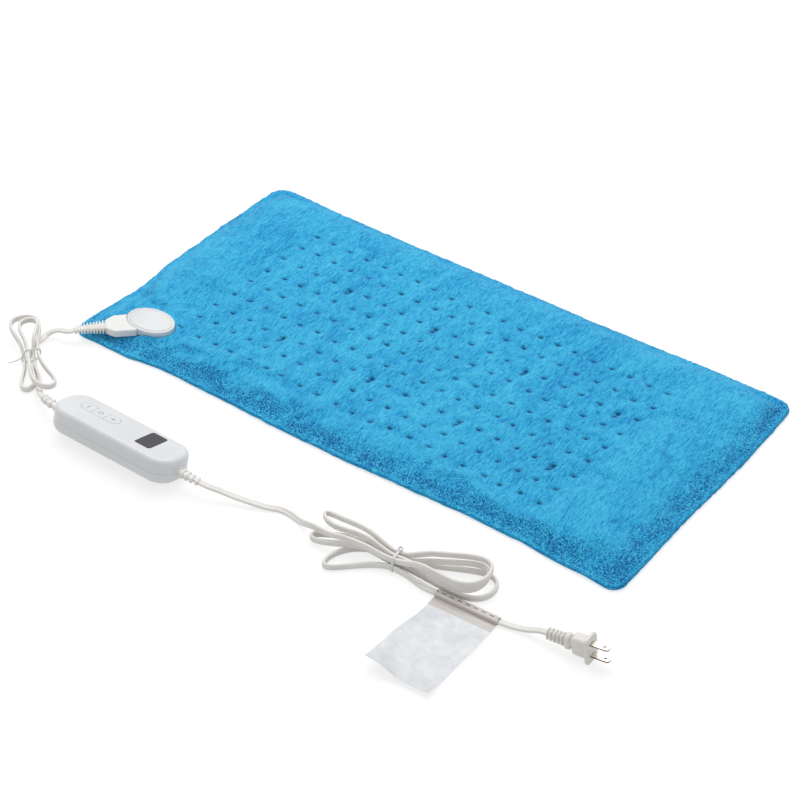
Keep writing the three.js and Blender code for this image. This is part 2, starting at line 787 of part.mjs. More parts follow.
// Connector halves, one above and one below the pins
function connectorShell(side) {
  const outline = outlineOf([
    [0, -connectorHalfWidth],
    [connectorShoulder, -connectorShoulderHalfWidth],
    [connectorTail, -connectorTailHalfWidth],
    [connectorTail, connectorTailHalfWidth],
    [connectorShoulder, connectorShoulderHalfWidth],
    [0, connectorHalfWidth],
  ]);
  const body = cut(
    plate(outline, baseLow, connectorTop, connectorEdge),
    ovalPlate(-socketGap, 0, socketTop + overrun),
  );
  const nose = blockAlong(
    noseStart,
    noseEnd,
    noseHalfWidth,
    pinHeight - noseHalfHeight,
    pinHeight + noseHalfHeight,
  );
  const pinWays = pinPlaces.flatMap((place) => [
    rodAlong(pinRadius + gap, 0, connectorHollowStart, place * pinSpacing, pinHeight, 8),
    rodAlong(sleeveRadius + gap, noseStart + noseLip, connectorHollowEnd, place * pinSpacing, pinHeight, 8),
  ]);
  const hollow = blockAlong(
    connectorHollowStart,
    connectorHollowEnd,
    connectorHollowHalfWidth,
    pinHeight - connectorHollowHalfHeight,
    pinHeight + connectorHollowHalfHeight,
  );
  const flangePocket = blockAlong(
    connectorHollowEnd - flangeThickness - gap,
    connectorHollowEnd + flangeThickness + gap,
    connectorFlangeHalfWidth + gap,
    pinHeight - connectorFlangeHalfHeight - gap,
    pinHeight + connectorFlangeHalfHeight + gap,
  );
  const neckWay = barAlong(
    connectorNeckHalfWidth + gap,
    connectorNeckHalfHeight + gap,
    connectorHollowEnd,
    connectorTail + overrun,
    pinHeight,
  );
  const whole = cut(join(body, nose), ...pinWays, hollow, flangePocket, neckWay);
  const low = side > 0 ? pinHeight + gap / 2 : 0;
  const high = side > 0 ? socketTop : pinHeight - gap / 2;
  return common(whole, blockAlong(0, connectorTail + overrun, connectorHalfWidth + overrun, low, high));
}

const connectorReliefBend = new THREE.Vector3(connectorTail + connectorReliefLength / 2, 0, pinHeight);
const connectorReliefTip = new THREE.Vector3(
  connectorTail + connectorReliefLength,
  0,
  pinHeight - connectorReliefDrop,
);

function addConnector() {
  addPiece(socketFrame, 'connector_upper_shell', connectorShell(1), whiteGloss);
  addPiece(socketFrame, 'connector_lower_shell', connectorShell(-1), whiteGloss);
  pinPlaces.forEach((place, k) => {
    const y = place * pinSpacing;
    const outer = rodAlong(sleeveRadius, sleeveStart, sleeveEnd, y, pinHeight, 8);
    const bore = rodAlong(sleeveBore, 0, sleeveEnd + overrun, y, pinHeight, 8);
    addPiece(socketFrame, `contact_sleeve_${k + 1}`, cut(outer, bore), brass);
  });
  const start = new THREE.Vector3(connectorTail + gap, 0, pinHeight);
  const row = reliefRow(start, connectorReliefBend, connectorReliefTip, connectorRibCount);
  const neck = barAlong(
    connectorNeckHalfWidth,
    connectorNeckHalfHeight,
    connectorHollowEnd + weld,
    connectorTail + gap + weld,
    pinHeight,
  );
  const flange = barAlong(
    connectorFlangeHalfWidth,
    connectorFlangeHalfHeight,
    connectorHollowEnd,
    connectorHollowEnd + flangeThickness,
    pinHeight,
  );
  const ribs = ribbedRelief(row, connectorReliefWidths, connectorReliefHeights);
  addPiece(socketFrame, 'connector_strain_relief', join(ribs, neck, flange), cordVinyl);
}

// Controller frame: turned, rolled back about its length, and resting on its lower back edge
const rollAngle = THREE.MathUtils.degToRad(controllerRollDegrees);
const restingHeight = bottomEdge
  + (controllerWidth / 2 - bottomEdge) * Math.sin(Math.abs(rollAngle))
  + (controllerHeight / 2 - bottomEdge) * Math.cos(rollAngle);
const rolled = placedGroup(loose, controllerX, controllerY, restingHeight, controllerTurnDegrees);
rolled.rotation.order = 'ZXY';
rolled.rotation.x = rollAngle;
const controller = placedGroup(rolled, 0, 0, -controllerHeight / 2);
const ceiling = controllerHeight - ceilingWall;
const keysX = keysEndMargin - controllerLength / 2;
const displayX = controllerLength / 2 - displayEndMargin;
const fuseX = displayX - windowLength / 2 - fuseMargin - fuseLength / 2;
const capacitorX = displayX - windowLength / 2 - capacitorMargin;
const boardLength = controllerLength - 2 * boardEndMargin;
const boardWidth = controllerWidth - 2 * boardSideMargin;
const boardRibX = boardLength / 2 - boardRibInset;
const screwX = controllerLength / 2 - screwEndMargin;
const screwY = controllerWidth / 2 - screwSideMargin;
const boardTop = boardHeight + boardThickness;
const partLow = boardTop + gap;
const screwPlaces = [[-screwX, -screwY], [-screwX, screwY], [screwX, -screwY], [screwX, screwY]];

function housingBlank(edge, hollowEdge, low, high, hollowLow, hollowHigh) {
  const outer = plate(
    roundedOutline(controllerLength, controllerWidth, controllerCorner),
    0,
    controllerHeight,
    edge,
    4,
    3,
  );
  const inner = plate(
    roundedOutline(
      controllerLength - 2 * shellWall,
      controllerWidth - 2 * shellWall,
      controllerCorner - shellWall,
    ),
    hollowLow,
    hollowHigh,
    hollowEdge,
    3,
  );
  const kept = block(controllerLength + overrun, controllerWidth + overrun, low, high);
  return cut(common(outer, kept), inner);
}

function glandWay() {
  return barAlong(
    glandNeckHalfWidth + gap,
    glandNeckHalfHeight + gap,
    -controllerLength,
    controllerLength,
    partingHeight,
  );
}

function keyOpening() {
  const outline = pillOutline(keysLength + 2 * gap, keysWidth + 2 * gap);
  return plate(outline, ceiling - overrun, controllerHeight + overrun).translate(keysX, keysY, 0);
}

function windowOpenings() {
  const pocket = plate(
    roundedOutline(windowLength + 2 * gap, windowWidth + 2 * gap, windowCorner + gap),
    controllerHeight - windowThickness - gap,
    controllerHeight + overrun,
  );
  const through = block(
    windowLength - 2 * windowLedge,
    windowWidth - 2 * windowLedge,
    ceiling - overrun,
    controllerHeight,
  );
  return [pocket, through].map((opening) => opening.translate(displayX, displayY, 0));
}

function addHousing() {
  const lowBlank = housingBlank(
    bottomEdge,
    hollowBottomEdge,
    0,
    partingHeight - gap / 2,
    shellWall,
    controllerHeight + 2 * hollowBottomEdge,
  );
  const lowPosts = screwPlaces.map(([x, y]) => (
    postAt(x, y, bossRadius, shellWall - weld, partingHeight - gap / 2)
  ));
  const ribs = [-boardRibX, boardRibX].map((x) => (
    block(boardThickness, boardRibWidth, shellWall - weld, boardHeight - gap, x)
  ));
  const shankHoles = screwPlaces.map(([x, y]) => (
    postAt(x, y, screwShankRadius + gap, -overrun, screwShankHigh + gap)
  ));
  const headHoles = screwPlaces.map(([x, y]) => (
    postAt(x, y, screwHeadRadius + gap, -overrun, screwHeadHigh + gap)
  ));
  const lower = cut(join(lowBlank, ...lowPosts, ...ribs), ...shankHoles, ...headHoles, glandWay());
  addPiece(controller, 'controller_bottom_housing', lower, whiteSatin);

  const highBlank = housingBlank(
    topEdge,
    hollowTopEdge,
    partingHeight + gap / 2,
    controllerHeight,
    -2 * hollowTopEdge,
    ceiling,
  );
  const highPosts = screwPlaces.map(([x, y]) => (
    postAt(x, y, bossRadius, partingHeight + gap / 2, ceiling + weld)
  ));
  const upper = cut(join(highBlank, ...highPosts), ...shankHoles, glandWay(), keyOpening(), ...windowOpenings());
  addPiece(controller, 'controller_top_housing', upper, whiteGloss);

  screwPlaces.forEach(([x, y], k) => {
    const head = postAt(x, y, screwHeadRadius, screwHeadLow, screwHeadHigh);
    const shank = postAt(x, y, screwShankRadius, screwHeadHigh - weld, screwShankHigh, 8);
    addPiece(controller, `housing_screw_${k + 1}`, join(head, shank), nickel);
  });
}

// Keys: three caps in one opening, each with a lip below the housing and a stem to its switch
function addKeys() {
  const names = ['minus', 'power', 'plus'];
  const pitch = keysLength / names.length;
  const lipTop = ceiling - gap;
  const plungerTop = partLow + switchHeight + plungerHeight;
  names.forEach((name, k) => {
    const x = (k - 1) * pitch;
    const keyLength = pitch - gap;
    const outward = k === 1 ? 0 : keysWidth;
    const span = block(
      keyLength + outward,
      2 * keysWidth,
      0,
      controllerHeight + overrun,
      x + (k - 1) * outward / 2,
    );
    const cap = common(
      plate(pillOutline(keysLength, keysWidth), lipTop - keyLipThickness, controllerHeight + keyProud),
      span,
    );
    const lip = common(
      plate(pillOutline(keysLength + 2 * keyLip, keysWidth + 2 * keyLip), lipTop - keyLipThickness, lipTop),
      span,
    );
    const stem = postAt(x, 0, keyStemRadius, plungerTop + keyFreeTravel, lipTop - keyLipThickness + weld);
    const key = join(cap, lip, stem).translate(keysX, keysY, 0);
    addPiece(controller, `${name}_button`, key, whiteSatin);
    const body = block(switchSide, switchSide, partLow, partLow + switchHeight);
    const plunger = postAt(0, 0, plungerRadius, partLow + switchHeight - weld, plungerTop);
    const keySwitch = join(body, plunger).translate(keysX + x, keysY, 0);
    addPiece(controller, `${name}_switch`, keySwitch, partBlack);
  });
}

function addInnards() {
  const board = plate(roundedOutline(boardLength, boardWidth, boardCorner), boardHeight, boardTop, 0, 2);
  addPiece(controller, 'circuit_board', board, boardGreen);
  const module = block(windowLength, windowWidth, partLow, ceiling - gap, displayX, displayY);
  addPiece(controller, 'display_module', module, partBlack);
  const window = plate(
    roundedOutline(windowLength, windowWidth, windowCorner),
    controllerHeight - windowThickness,
    controllerHeight,
    0,
    3,
  );
  addPiece(controller, 'display_window', window.translate(displayX, displayY, 0), glassSmoke);
  const fuse = rodAlong(fuseRadius, fuseX - fuseLength / 2, fuseX + fuseLength / 2, fuseY, partLow + fuseRadius, 12);
  addPiece(controller, 'fuse', fuse, glassClear);
  const capacitor = plate(
    roundedOutline(capacitorLength, capacitorWidth, 2 * partEdge),
    partLow,
    partLow + capacitorHeight,
    partEdge,
    2,
    1,
  );
  addPiece(controller, 'capacitor', capacitor.translate(capacitorX, capacitorY, 0), partBlue);
  const triac = block(triacLength, triacWidth, partLow, partLow + triacHeight, triacX, triacY);
  addPiece(controller, 'triac', triac, partBlack);
}

// Reliefs at the ends, clamped in the housing's parting line
function glandPlace(side, reach, swing = 0, drop = 0) {
  return new THREE.Vector3(side * (controllerLength / 2 + reach), swing, partingHeight - drop);
}
const leadGlandBend = glandPlace(-1, leadGlandStraight);
const leadGlandTip = glandPlace(-1, leadGlandReach, leadGlandSwing, leadGlandDrop);
const mainsGlandBend = glandPlace(1, mainsGlandStraight);
const mainsGlandTip = glandPlace(1, mainsGlandReach, mainsGlandSwing, mainsGlandDrop);

function addGland(name, side, bend, tip) {
  const wallFace = controllerLength / 2;
  const innerFace = wallFace - shellWall;
  const start = glandPlace(side, gap);
  const ribs = ribbedRelief(reliefRow(start, bend, tip, glandRibCount), glandWidths, glandHeights);
  const ends = [side * (innerFace - gap - flangeThickness), side * (wallFace + gap + weld)];
  const neck = barAlong(glandNeckHalfWidth, glandNeckHalfHeight, Math.min(...ends), Math.max(...ends), partingHeight);
  const faces = [side * (innerFace - gap - flangeThickness), side * (innerFace - gap)];
  const flange = barAlong(
    glandFlangeHalfWidth,
    glandFlangeHalfHeight,
    Math.min(...faces),
    Math.max(...faces),
    partingHeight,
  );
  addPiece(controller, name, join(ribs, neck, flange), cordVinyl);
}

// Hanks: teardrop lobes to either side of a tie, each strand in a slot of its own
function lobeRow(hank, index) {
  const [side, reach, halfWidth, drift, level, tipLevel] = hank.lobes[index];
  const [fromAcross, fromHeight] = hank.slots[index];
  const [toAcross, toHeight] = hank.slots[index + 1];
  const turn = THREE.MathUtils.degToRad(hank.turnDegrees);
  const swellShare = 0.77;
  return Array.from({ length: hankStepCount + 1 }, (_, k) => {
    const share = k / hankStepCount;
    const arch = Math.sin(Math.PI * share);
    const out = reach * arch;
    const swell = Math.sin(2 * Math.PI * share) * arch / swellShare;
    const across = mix(fromAcross, toAcross, smooth(share))
      - hank.sense * side * halfWidth * swell + drift * arch * arch;
    const slotHeight = share < 0.5 ? fromHeight : toHeight;
    const open = mix(level, tipLevel, smooth((out - hank.climb) / (reach - hank.climb)));
    const height = mix(slotHeight, open, smooth(out / hank.climb));
    return new THREE.Vector3(
      hank.x + Math.cos(turn) * side * out - Math.sin(turn) * across,
      hank.y + Math.sin(turn) * side * out + Math.cos(turn) * across,
      height,
    );
  });
}

function hankCentres(hank, exitTip) {
  const wound = hank.lobes.flatMap((_, k) => lobeRow(hank, k).slice(k === 0 ? 0 : 1));
  const [entryFace, ...entry] = hank.entry.map(vectorOf);
  const exit = [...hank.exit.map(vectorOf), ...exitTip];
  const exitFace = exit.pop();
  const before = [entryFace, ...smoothRow([...entry, wound[0]], cordStep / 2).slice(0, -1)];
  const after = [...smoothRow([wound[wound.length - 1], ...exit], cordStep / 2).slice(1), exitFace];
  return { before, wound, after, whole: [...before, ...wound, ...after] };
}

// The cord lies flat at a hank's two ends and stands on edge in between
function hankLean(parts, turnShare) {
  const last = parts.whole.length - 1;
  const entryShare = parts.before.length / last;
  const exitShare = parts.after.length / last;
  return (share) => {
    const rise = smooth(share / (entryShare * turnShare));
    const fall = smooth((1 - share) / (exitShare * turnShare));
    return Math.PI / 2 * Math.min(rise, fall);
  };
}

// The least distance between points on the cord's faces that are far apart along the cord
function leastSelfGap(geometry, centres) {
  const position = geometry.attributes.position;
  const travel = [0];
  centres.slice(1).forEach((centre, k) => travel.push(travel[k] + centre.distanceTo(centres[k])));
  const samples = [];
  const corners = [0, 1, 2].map(() => new THREE.Vector3());
  for (let k = 0; k < position.count; k += 3) {
    corners.forEach((corner, m) => corner.fromBufferAttribute(position, k + m));
    const halves = corners.map((corner, m) => corner.clone().add(corners[(m + 1) % 3]).divideScalar(2));
    samples.push(...halves, corners[0].clone());
  }
  const places = samples.map((sample) => {
    const distances = centres.map((centre) => centre.distanceToSquared(sample));
    return travel[distances.indexOf(Math.min(...distances))];
  });
  let least = Infinity;
  samples.forEach((sample, a) => {
    for (let b = a + 1; b < samples.length; b += 1) {
      if (Math.abs(places[a] - places[b]) > selfDistance) {
        least = Math.min(least, sample.distanceToSquared(samples[b]));
      }
    }
  });
  return Math.sqrt(least);
}

function addHank(name, hank, exitTip, turnShare) {
  const parts = hankCentres(hank, exitTip);
  const body = sweep(parts.whole, flatSection(cordWidth, hank.thickness), hankLean(parts, turnShare));
  const least = leastSelfGap(body, parts.whole);
  console.log(`${name}: least gap to itself ${least.toFixed(2)} mm, wanted over ${selfGapLeast}`);
  addPiece(loose, name, body, cordVinyl);
}

function addTie(name, hank, hasTail) {
  const frame = placedGroup(loose, hank.x, hank.y, 0, hank.turnDegrees);
  const across = hank.slots.map(([place]) => place);
  const reach = hank.thickness / 2 + bandSpread + tieThickness;
  const low = Math.min(...across) - reach;
  const high = Math.max(...across) + reach;
  const width = high - low;
  const outline = roundedOutline(width, tieHigh - tieLow, tieCorner);
  outline.holes.push(roundedOutline(
    width - 2 * tieThickness,
    tieHigh - tieLow - 2 * tieThickness,
    tieCorner - tieThickness,
  ));
  const band = plate(outline, -tieWidth / 2, tieWidth / 2, 0, 2).applyMatrix4(alongX);
  band.translate(0, (low + high) / 2, (tieLow + tieHigh) / 2);
  if (!hasTail) {
    addPiece(frame, name, band, tieWhite);
    return;
  }
  const tailLow = tieLow + tieCorner;
  const tailMiddle = low + tieThickness / 2 - tailLength / 2;
  const tail = block(tieWidth, tailLength, tailLow, tailLow + tieThickness, 0, tailMiddle);
  addPiece(frame, name, join(band, tail), tieWhite);
}

// Free runs of cord, flat all along
function addRun(name, points, thickness) {
  const section = barSection(cordWidth / 2, thickness / 2);
  const row = [points[0], ...smoothRow(points.slice(1, -1), cordStep), points[points.length - 1]];
  addPiece(loose, name, sweep(row, section), cordVinyl);
}

// The two ends of a straight stretch that leaves a face squarely, from the gap onwards
function straightFrom(point, way) {
  return [gap, gap + straightEnd].map((reach) => point.clone().addScaledVector(way, reach));
}

function wayOf(from, to) {
  return to.clone().sub(from).normalize();
}

function looseFrom(frame, point) {
  return loose.worldToLocal(frame.localToWorld(point.clone()));
}

function straightFromRelief(frame, bend, tip) {
  const end = looseFrom(frame, tip);
  return straightFrom(end, wayOf(looseFrom(frame, bend), end));
}

// Plug frame: X runs out along the blades, from the flange's face
const plug = placedGroup(loose, plugX, plugY, plugZ, plugTurnDegrees);
plug.rotation.order = 'ZYX';
plug.rotation.y = -THREE.MathUtils.degToRad(plugPitchDegrees);
const plugBack = -plugFlangeThickness - plugBodyLength - plugCollarLength;
const plugReliefRoot = new THREE.Vector3(plugBack - gap, 0, 0);
const plugReliefTip = new THREE.Vector3(plugBack - gap - plugReliefLength, 0, 0);

function addCords() {
  model.updateMatrixWorld(true);
  const leadStart = straightFromRelief(socketFrame, connectorReliefBend, connectorReliefTip);
  const leadEntry = leadHank.entry.slice(0, 2).map(vectorOf);
  const leadEnd = straightFrom(leadEntry[0], wayOf(leadEntry[1], leadEntry[0])).reverse();
  addRun('lead_run', [...leadStart, ...leadRunPoints.map(vectorOf), ...leadEnd], leadThickness);
  const leadExit = straightFromRelief(controller, leadGlandBend, leadGlandTip).reverse();
  addHank('lead_hank', leadHank, leadExit, 0.8);

  const mainsStart = straightFromRelief(controller, mainsGlandBend, mainsGlandTip);
  const mainsEntry = mainsHank.entry.slice(0, 2).map(vectorOf);
  const mainsEnd = straightFrom(mainsEntry[0], wayOf(mainsEntry[1], mainsEntry[0])).reverse();
  addRun('mains_run_a', [...mainsStart, ...mainsRunAPoints.map(vectorOf), ...mainsEnd], mainsThickness);
  addHank('mains_hank', mainsHank, [], 0.6);

  const [beforeLast, last] = mainsHank.exit.slice(-2).map(vectorOf);
  const hankExit = straightFrom(last, wayOf(beforeLast, last));
  const plugStart = straightFromRelief(plug, plugReliefRoot, plugReliefTip).reverse();
  addRun('mains_run_b', [...hankExit, ...mainsRunBPoints.map(vectorOf), ...plugStart], mainsThickness);
}

// Tag: a strip folded round the cord, its two plies glued into one tail
function addTag() {
  const frame = placedGroup(loose, tagX, tagY, 0, tagTurnDegrees);
  const holeWidth = cordWidth + 2 * gap;
  const holeHeight = mainsThickness + 2 * gap;
  const reach = holeWidth / 2 + tagThickness;
  const rise = holeHeight / 2 + tagThickness;
  const top = tagTail.map(([y, z]) => [y, z + tagThickness / 2]);
  const bottom = tagTail.map(([y, z]) => [y, z - tagThickness / 2]).reverse();
  const outline = outlineOf([
    [-holeWidth / 2, tagCordHeight + rise],
    [-reach, tagCordHeight + holeHeight / 4],
    ...top,
    ...bottom,
    [-holeWidth / 2, tagCordHeight - rise],
    [holeWidth / 2, tagCordHeight - rise],
    [reach, tagCordHeight - holeHeight / 4],
    [reach, tagCordHeight + holeHeight / 4],
    [holeWidth / 2, tagCordHeight + rise],
  ]);
  outline.holes.push(outlineOf([
    [-holeWidth / 2, tagCordHeight - holeHeight / 2],
    [holeWidth / 2, tagCordHeight - holeHeight / 2],
    [holeWidth / 2, tagCordHeight + holeHeight / 2],
    [-holeWidth / 2, tagCordHeight + holeHeight / 2],
  ]));
  const strip = plate(outline, -tagWidth / 2, tagWidth / 2).applyMatrix4(alongX);
  addPiece(frame, 'cord_tag', strip, tagPaper);
}

function plugPart(width, height, corner, start, end) {
  return plate(roundedOutline(width, height, corner), start, end, plugEdge, 3).applyMatrix4(alongX);
}

function addPlug() {
  const bodyEnd = -plugFlangeThickness - plugBodyLength;
  const flange = plugPart(plugFlangeWidth, plugFlangeHeight, plugFlangeCorner, -plugFlangeThickness, 0);
  const body = plugPart(plugBodyWidth, plugBodyHeight, plugBodyCorner, bodyEnd, plugEdge - plugFlangeThickness);
  const collar = plugPart(
    plugCollarWidth,
    plugCollarHeight,
    plugCollarCorner,
    plugBack,
    bodyEnd + 2 * plugEdge,
  );
  const slots = [-1, 1].map((sign) => (
    block(
      bladeSeat + gap + overrun,
      bladeWidth + 2 * gap,
      sign * bladeSpacing / 2 - bladeThickness / 2 - gap,
      sign * bladeSpacing / 2 + bladeThickness / 2 + gap,
      (overrun - bladeSeat - gap) / 2,
    )
  ));
  const neckWay = barAlong(
    plugNeckHalfWidth + gap,
    plugNeckHalfHeight + gap,
    plugBack - overrun,
    plugBack + plugNeckSink + gap,
    0,
  );
  addPiece(plug, 'plug_body', cut(join(flange, body, collar), ...slots, neckWay), cordVinyl);

  const middle = plugReliefRoot.clone().lerp(plugReliefTip, 0.5);
  const row = reliefRow(plugReliefTip, middle, plugReliefRoot, plugRibCount);
  const ribs = ribbedRelief(row, plugReliefWidths, plugReliefHeights);
  const neck = barAlong(plugNeckHalfWidth, plugNeckHalfHeight, plugBack - gap - weld, plugBack + plugNeckSink, 0);
  addPiece(plug, 'plug_strain_relief', join(ribs, neck), cordVinyl);

  [-1, 1].forEach((sign, k) => {
    const half = bladeWidth / 2;
    const outline = outlineOf([
      [-bladeSeat, -half],
      [bladeReach - bladeNose, -half],
      [bladeReach, -half + bladeNose],
      [bladeReach, half - bladeNose],
      [bladeReach - bladeNose, half],
      [-bladeSeat, half],
    ]);
    const z = sign * bladeSpacing / 2;
    const blank = plate(outline, z - bladeThickness / 2, z + bladeThickness / 2);
    const hole = postAt(bladeReach - bladeHoleBack, 0, bladeHoleRadius, z - bladeThickness, z + bladeThickness);
    addPiece(plug, `plug_blade_${k + 1}`, cut(blank, hole), nickel);
  });
}

addPadCloths();
addHeatingWire();
addSocket();
addConnector();
addHousing();
addKeys();
addInnards();
addGland('lead_gland', -1, leadGlandBend, leadGlandTip);
addGland('mains_gland', 1, mainsGlandBend, mainsGlandTip);
addCords();
addTie('lead_tie', leadHank, true);
addTie('mains_tie', mainsHank, false);
addTag();
addPlug();

export default model;
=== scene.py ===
# %% [markdown]
# # Electric heating pad with a hand controller
#
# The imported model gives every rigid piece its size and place. This script dresses it: plush cloth
# on the pad, flat two-core cords, moulded plastic, plated blades and a clear tag.
# All lengths in the code are millimetres, and a mesh is turned to metres when it is made.

# %% Load the frame
import math

import bpy
import numpy as np
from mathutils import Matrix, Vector


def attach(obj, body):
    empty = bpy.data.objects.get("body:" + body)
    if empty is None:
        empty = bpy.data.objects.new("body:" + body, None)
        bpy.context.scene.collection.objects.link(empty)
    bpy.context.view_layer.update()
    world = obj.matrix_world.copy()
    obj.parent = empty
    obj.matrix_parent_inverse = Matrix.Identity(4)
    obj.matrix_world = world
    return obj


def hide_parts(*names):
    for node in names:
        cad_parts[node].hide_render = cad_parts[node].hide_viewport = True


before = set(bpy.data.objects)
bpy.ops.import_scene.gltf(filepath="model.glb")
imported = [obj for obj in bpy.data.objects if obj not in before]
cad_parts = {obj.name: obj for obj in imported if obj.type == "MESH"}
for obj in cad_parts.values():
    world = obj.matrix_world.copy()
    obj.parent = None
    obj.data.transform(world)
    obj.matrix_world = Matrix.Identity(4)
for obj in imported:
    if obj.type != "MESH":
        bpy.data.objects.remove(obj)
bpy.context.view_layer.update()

MM = 0.001

# %% [markdown]
# ## Tools for shapes
#
# A surface in Blender is a list of points and the faces that join them. Most pieces here are a grid:
# one direction runs round a section and the other along a path, so one function can name the faces.

# %% Grids, meshes and places
def grid_faces(rows, columns, closed=False):
    """Quads of a grid of points: each joins a point, the one below, the one below right and the one to
    the right. A closed grid's last column meets its first."""
    across = np.arange(columns if closed else columns - 1)
    row, column = np.meshgrid(np.arange(rows - 1), across, indexing="ij")
    right = (column + 1) % columns
    corners = [(row, column), (row + 1, column), (row + 1, right), (row, right)]
    return np.stack([r * columns + c for r, c in corners], -1).reshape(-1, 4)


def border(rows, columns):
    """The numbers of a grid's outermost points, once round."""
    ids = np.arange(rows * columns).reshape(rows, columns)
    return np.concatenate([ids[0], ids[1:, -1], ids[-1, -2::-1], ids[-2:0:-1, 0]])


def double_sheet(upper, lower):
    """A closed shape from two grids of points, one over the other, joined round their border."""
    rows, columns = upper.shape[:2]
    count = rows * columns
    rim = border(rows, columns)
    after = np.roll(rim, -1)
    faces = grid_faces(rows, columns)
    sides = np.stack([rim, after, after + count, rim + count], 1)
    return np.concatenate([upper, lower]).reshape(-1, 3), [faces, faces[:, ::-1] + count, sides]


def stacked(rings):
    """A closed shape from rings of points, one after another, with a face across each end."""
    rows, count = np.shape(rings)[:2]
    first = np.arange(count)[None]
    sides = grid_faces(rows, count, closed=True)[:, ::-1]
    return np.reshape(rings, (-1, 3)), [sides, first + (rows - 1) * count, first[:, ::-1]]


def volume_of(points, faces):
    """Six times the volume inside: the sum of each triangle's triple product, with faces cut into fans."""
    total = 0.0
    for group in faces:
        for k in range(1, group.shape[1] - 1):
            a, b, c = points[group[:, 0]], points[group[:, k]], points[group[:, k + 1]]
            total += float((a * np.cross(b, c)).sum())
    return total


def mesh_of(name, shape):
    """A smooth-shaded mesh from points in millimetres and a list of face arrays. Where the volume comes
    out negative, the faces are turned over."""
    points = np.asarray(shape[0], float).reshape(-1, 3)
    faces = [np.asarray(group, int) for group in shape[1]]
    if volume_of(points - points.mean(0), faces) < 0:
        faces = [group[:, ::-1] for group in faces]
    sizes = np.concatenate([np.full(len(group), group.shape[1]) for group in faces])
    corners = np.concatenate([group.ravel() for group in faces]).astype(np.int32)
    mesh = bpy.data.meshes.new(name)
    mesh.vertices.add(len(points))
    mesh.vertices.foreach_set("co", (points * MM).astype(np.float32).ravel())
    mesh.loops.add(len(corners))
    mesh.loops.foreach_set("vertex_index", corners)
    mesh.polygons.add(len(sizes))
    mesh.polygons.foreach_set("loop_start", (np.cumsum(sizes) - sizes).astype(np.int32))
    mesh.polygons.foreach_set("use_smooth", np.ones(len(sizes), bool))
    mesh.update(calc_edges=True)
    return mesh


def shown(name, data):
    """An object of that data, in the scene."""
    made = bpy.data.objects.new(name, data)
    bpy.context.scene.collection.objects.link(made)
    return made


def carved(name, mesh, changes):
    """The mesh after a list of changes, each the name of a Boolean and the shape that it adds or takes
    away."""
    blank = shown(name + "_blank", mesh)
    tools = [shown(name + "_tool", mesh_of(name + "_tool", shape)) for _, shape in changes]
    for (operation, _), tool in zip(changes, tools):
        change = blank.modifiers.new(operation, "BOOLEAN")
        change.operation, change.object, change.solver = operation, tool, "EXACT"
    ready = blank.evaluated_get(bpy.context.evaluated_depsgraph_get())
    result = bpy.data.meshes.new_from_object(ready)
    for spare in (blank, *tools):
        bpy.data.objects.remove(spare)
    result.name = name
    result.materials.clear()
    return result


def cut(*shapes):
    """Changes that take shapes away."""
    return [("DIFFERENCE", shape) for shape in shapes]


def grown(*shapes):
    """Changes that add shapes."""
    return [("UNION", shape) for shape in shapes]


def piece(name, shape, finish, body, changes=(), place=None, sharp=None, stands_for=()):
    """A named piece on its CAD body: carved in its own frame, then carried to its place. Edges steeper
    than sharp degrees stay crisp."""
    mesh = mesh_of(name, shape)
    if changes:
        mesh = carved(name, mesh, changes)
    if place:
        points = np.zeros(3 * len(mesh.vertices), np.float32)
        mesh.vertices.foreach_get("co", points)
        points = placed(points.reshape(-1, 3) / MM, place) * MM
        mesh.vertices.foreach_set("co", points.astype(np.float32).ravel())
        mesh.update()
    if sharp:
        mesh.set_sharp_from_angle(angle=math.radians(sharp))
    mesh.materials.append(finish)
    made = shown(name, mesh)
    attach(made, body)
    if stands_for:
        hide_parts(*stands_for)
    print(name, len(mesh.vertices), "points")
    return made


def merged(*shapes):
    """Several shapes as one: their points in a row, and their faces renumbered."""
    counts = np.cumsum([0] + [len(points) for points, _ in shapes])
    faces = [group + start for (_, groups), start in zip(shapes, counts) for group in groups]
    return np.concatenate([points for points, _ in shapes]), faces


def turn(axis, degrees):
    """A rotation about X, Y or Z as a 3 by 3 matrix."""
    c, s = math.cos(math.radians(degrees)), math.sin(math.radians(degrees))
    first, second = {"x": (1, 2), "y": (2, 0), "z": (0, 1)}[axis]
    matrix = np.eye(3)
    matrix[first, first] = matrix[second, second] = c
    matrix[first, second], matrix[second, first] = -s, s
    return matrix


def placed(points, place):
    """Points of a piece's own frame in the row frame: turned by the place's matrix, then moved to its
    origin."""
    matrix, origin = place
    return np.asarray(points, float) @ matrix.T + origin


def put(shape, place):
    """A shape carried to its place."""
    return placed(shape[0], place), shape[1]


def ease(value):
    """A smooth step from 0 to 1: three times the square less twice the cube."""
    t = np.clip(value, 0, 1)
    return t * t * (3 - 2 * t)


# %% [markdown]
# Moulded pieces are stacks of outlines: the same ring of points, drawn in a little more at each level
# towards a rounded edge. That is also how a mould is drawn, as a plan with an edge radius.

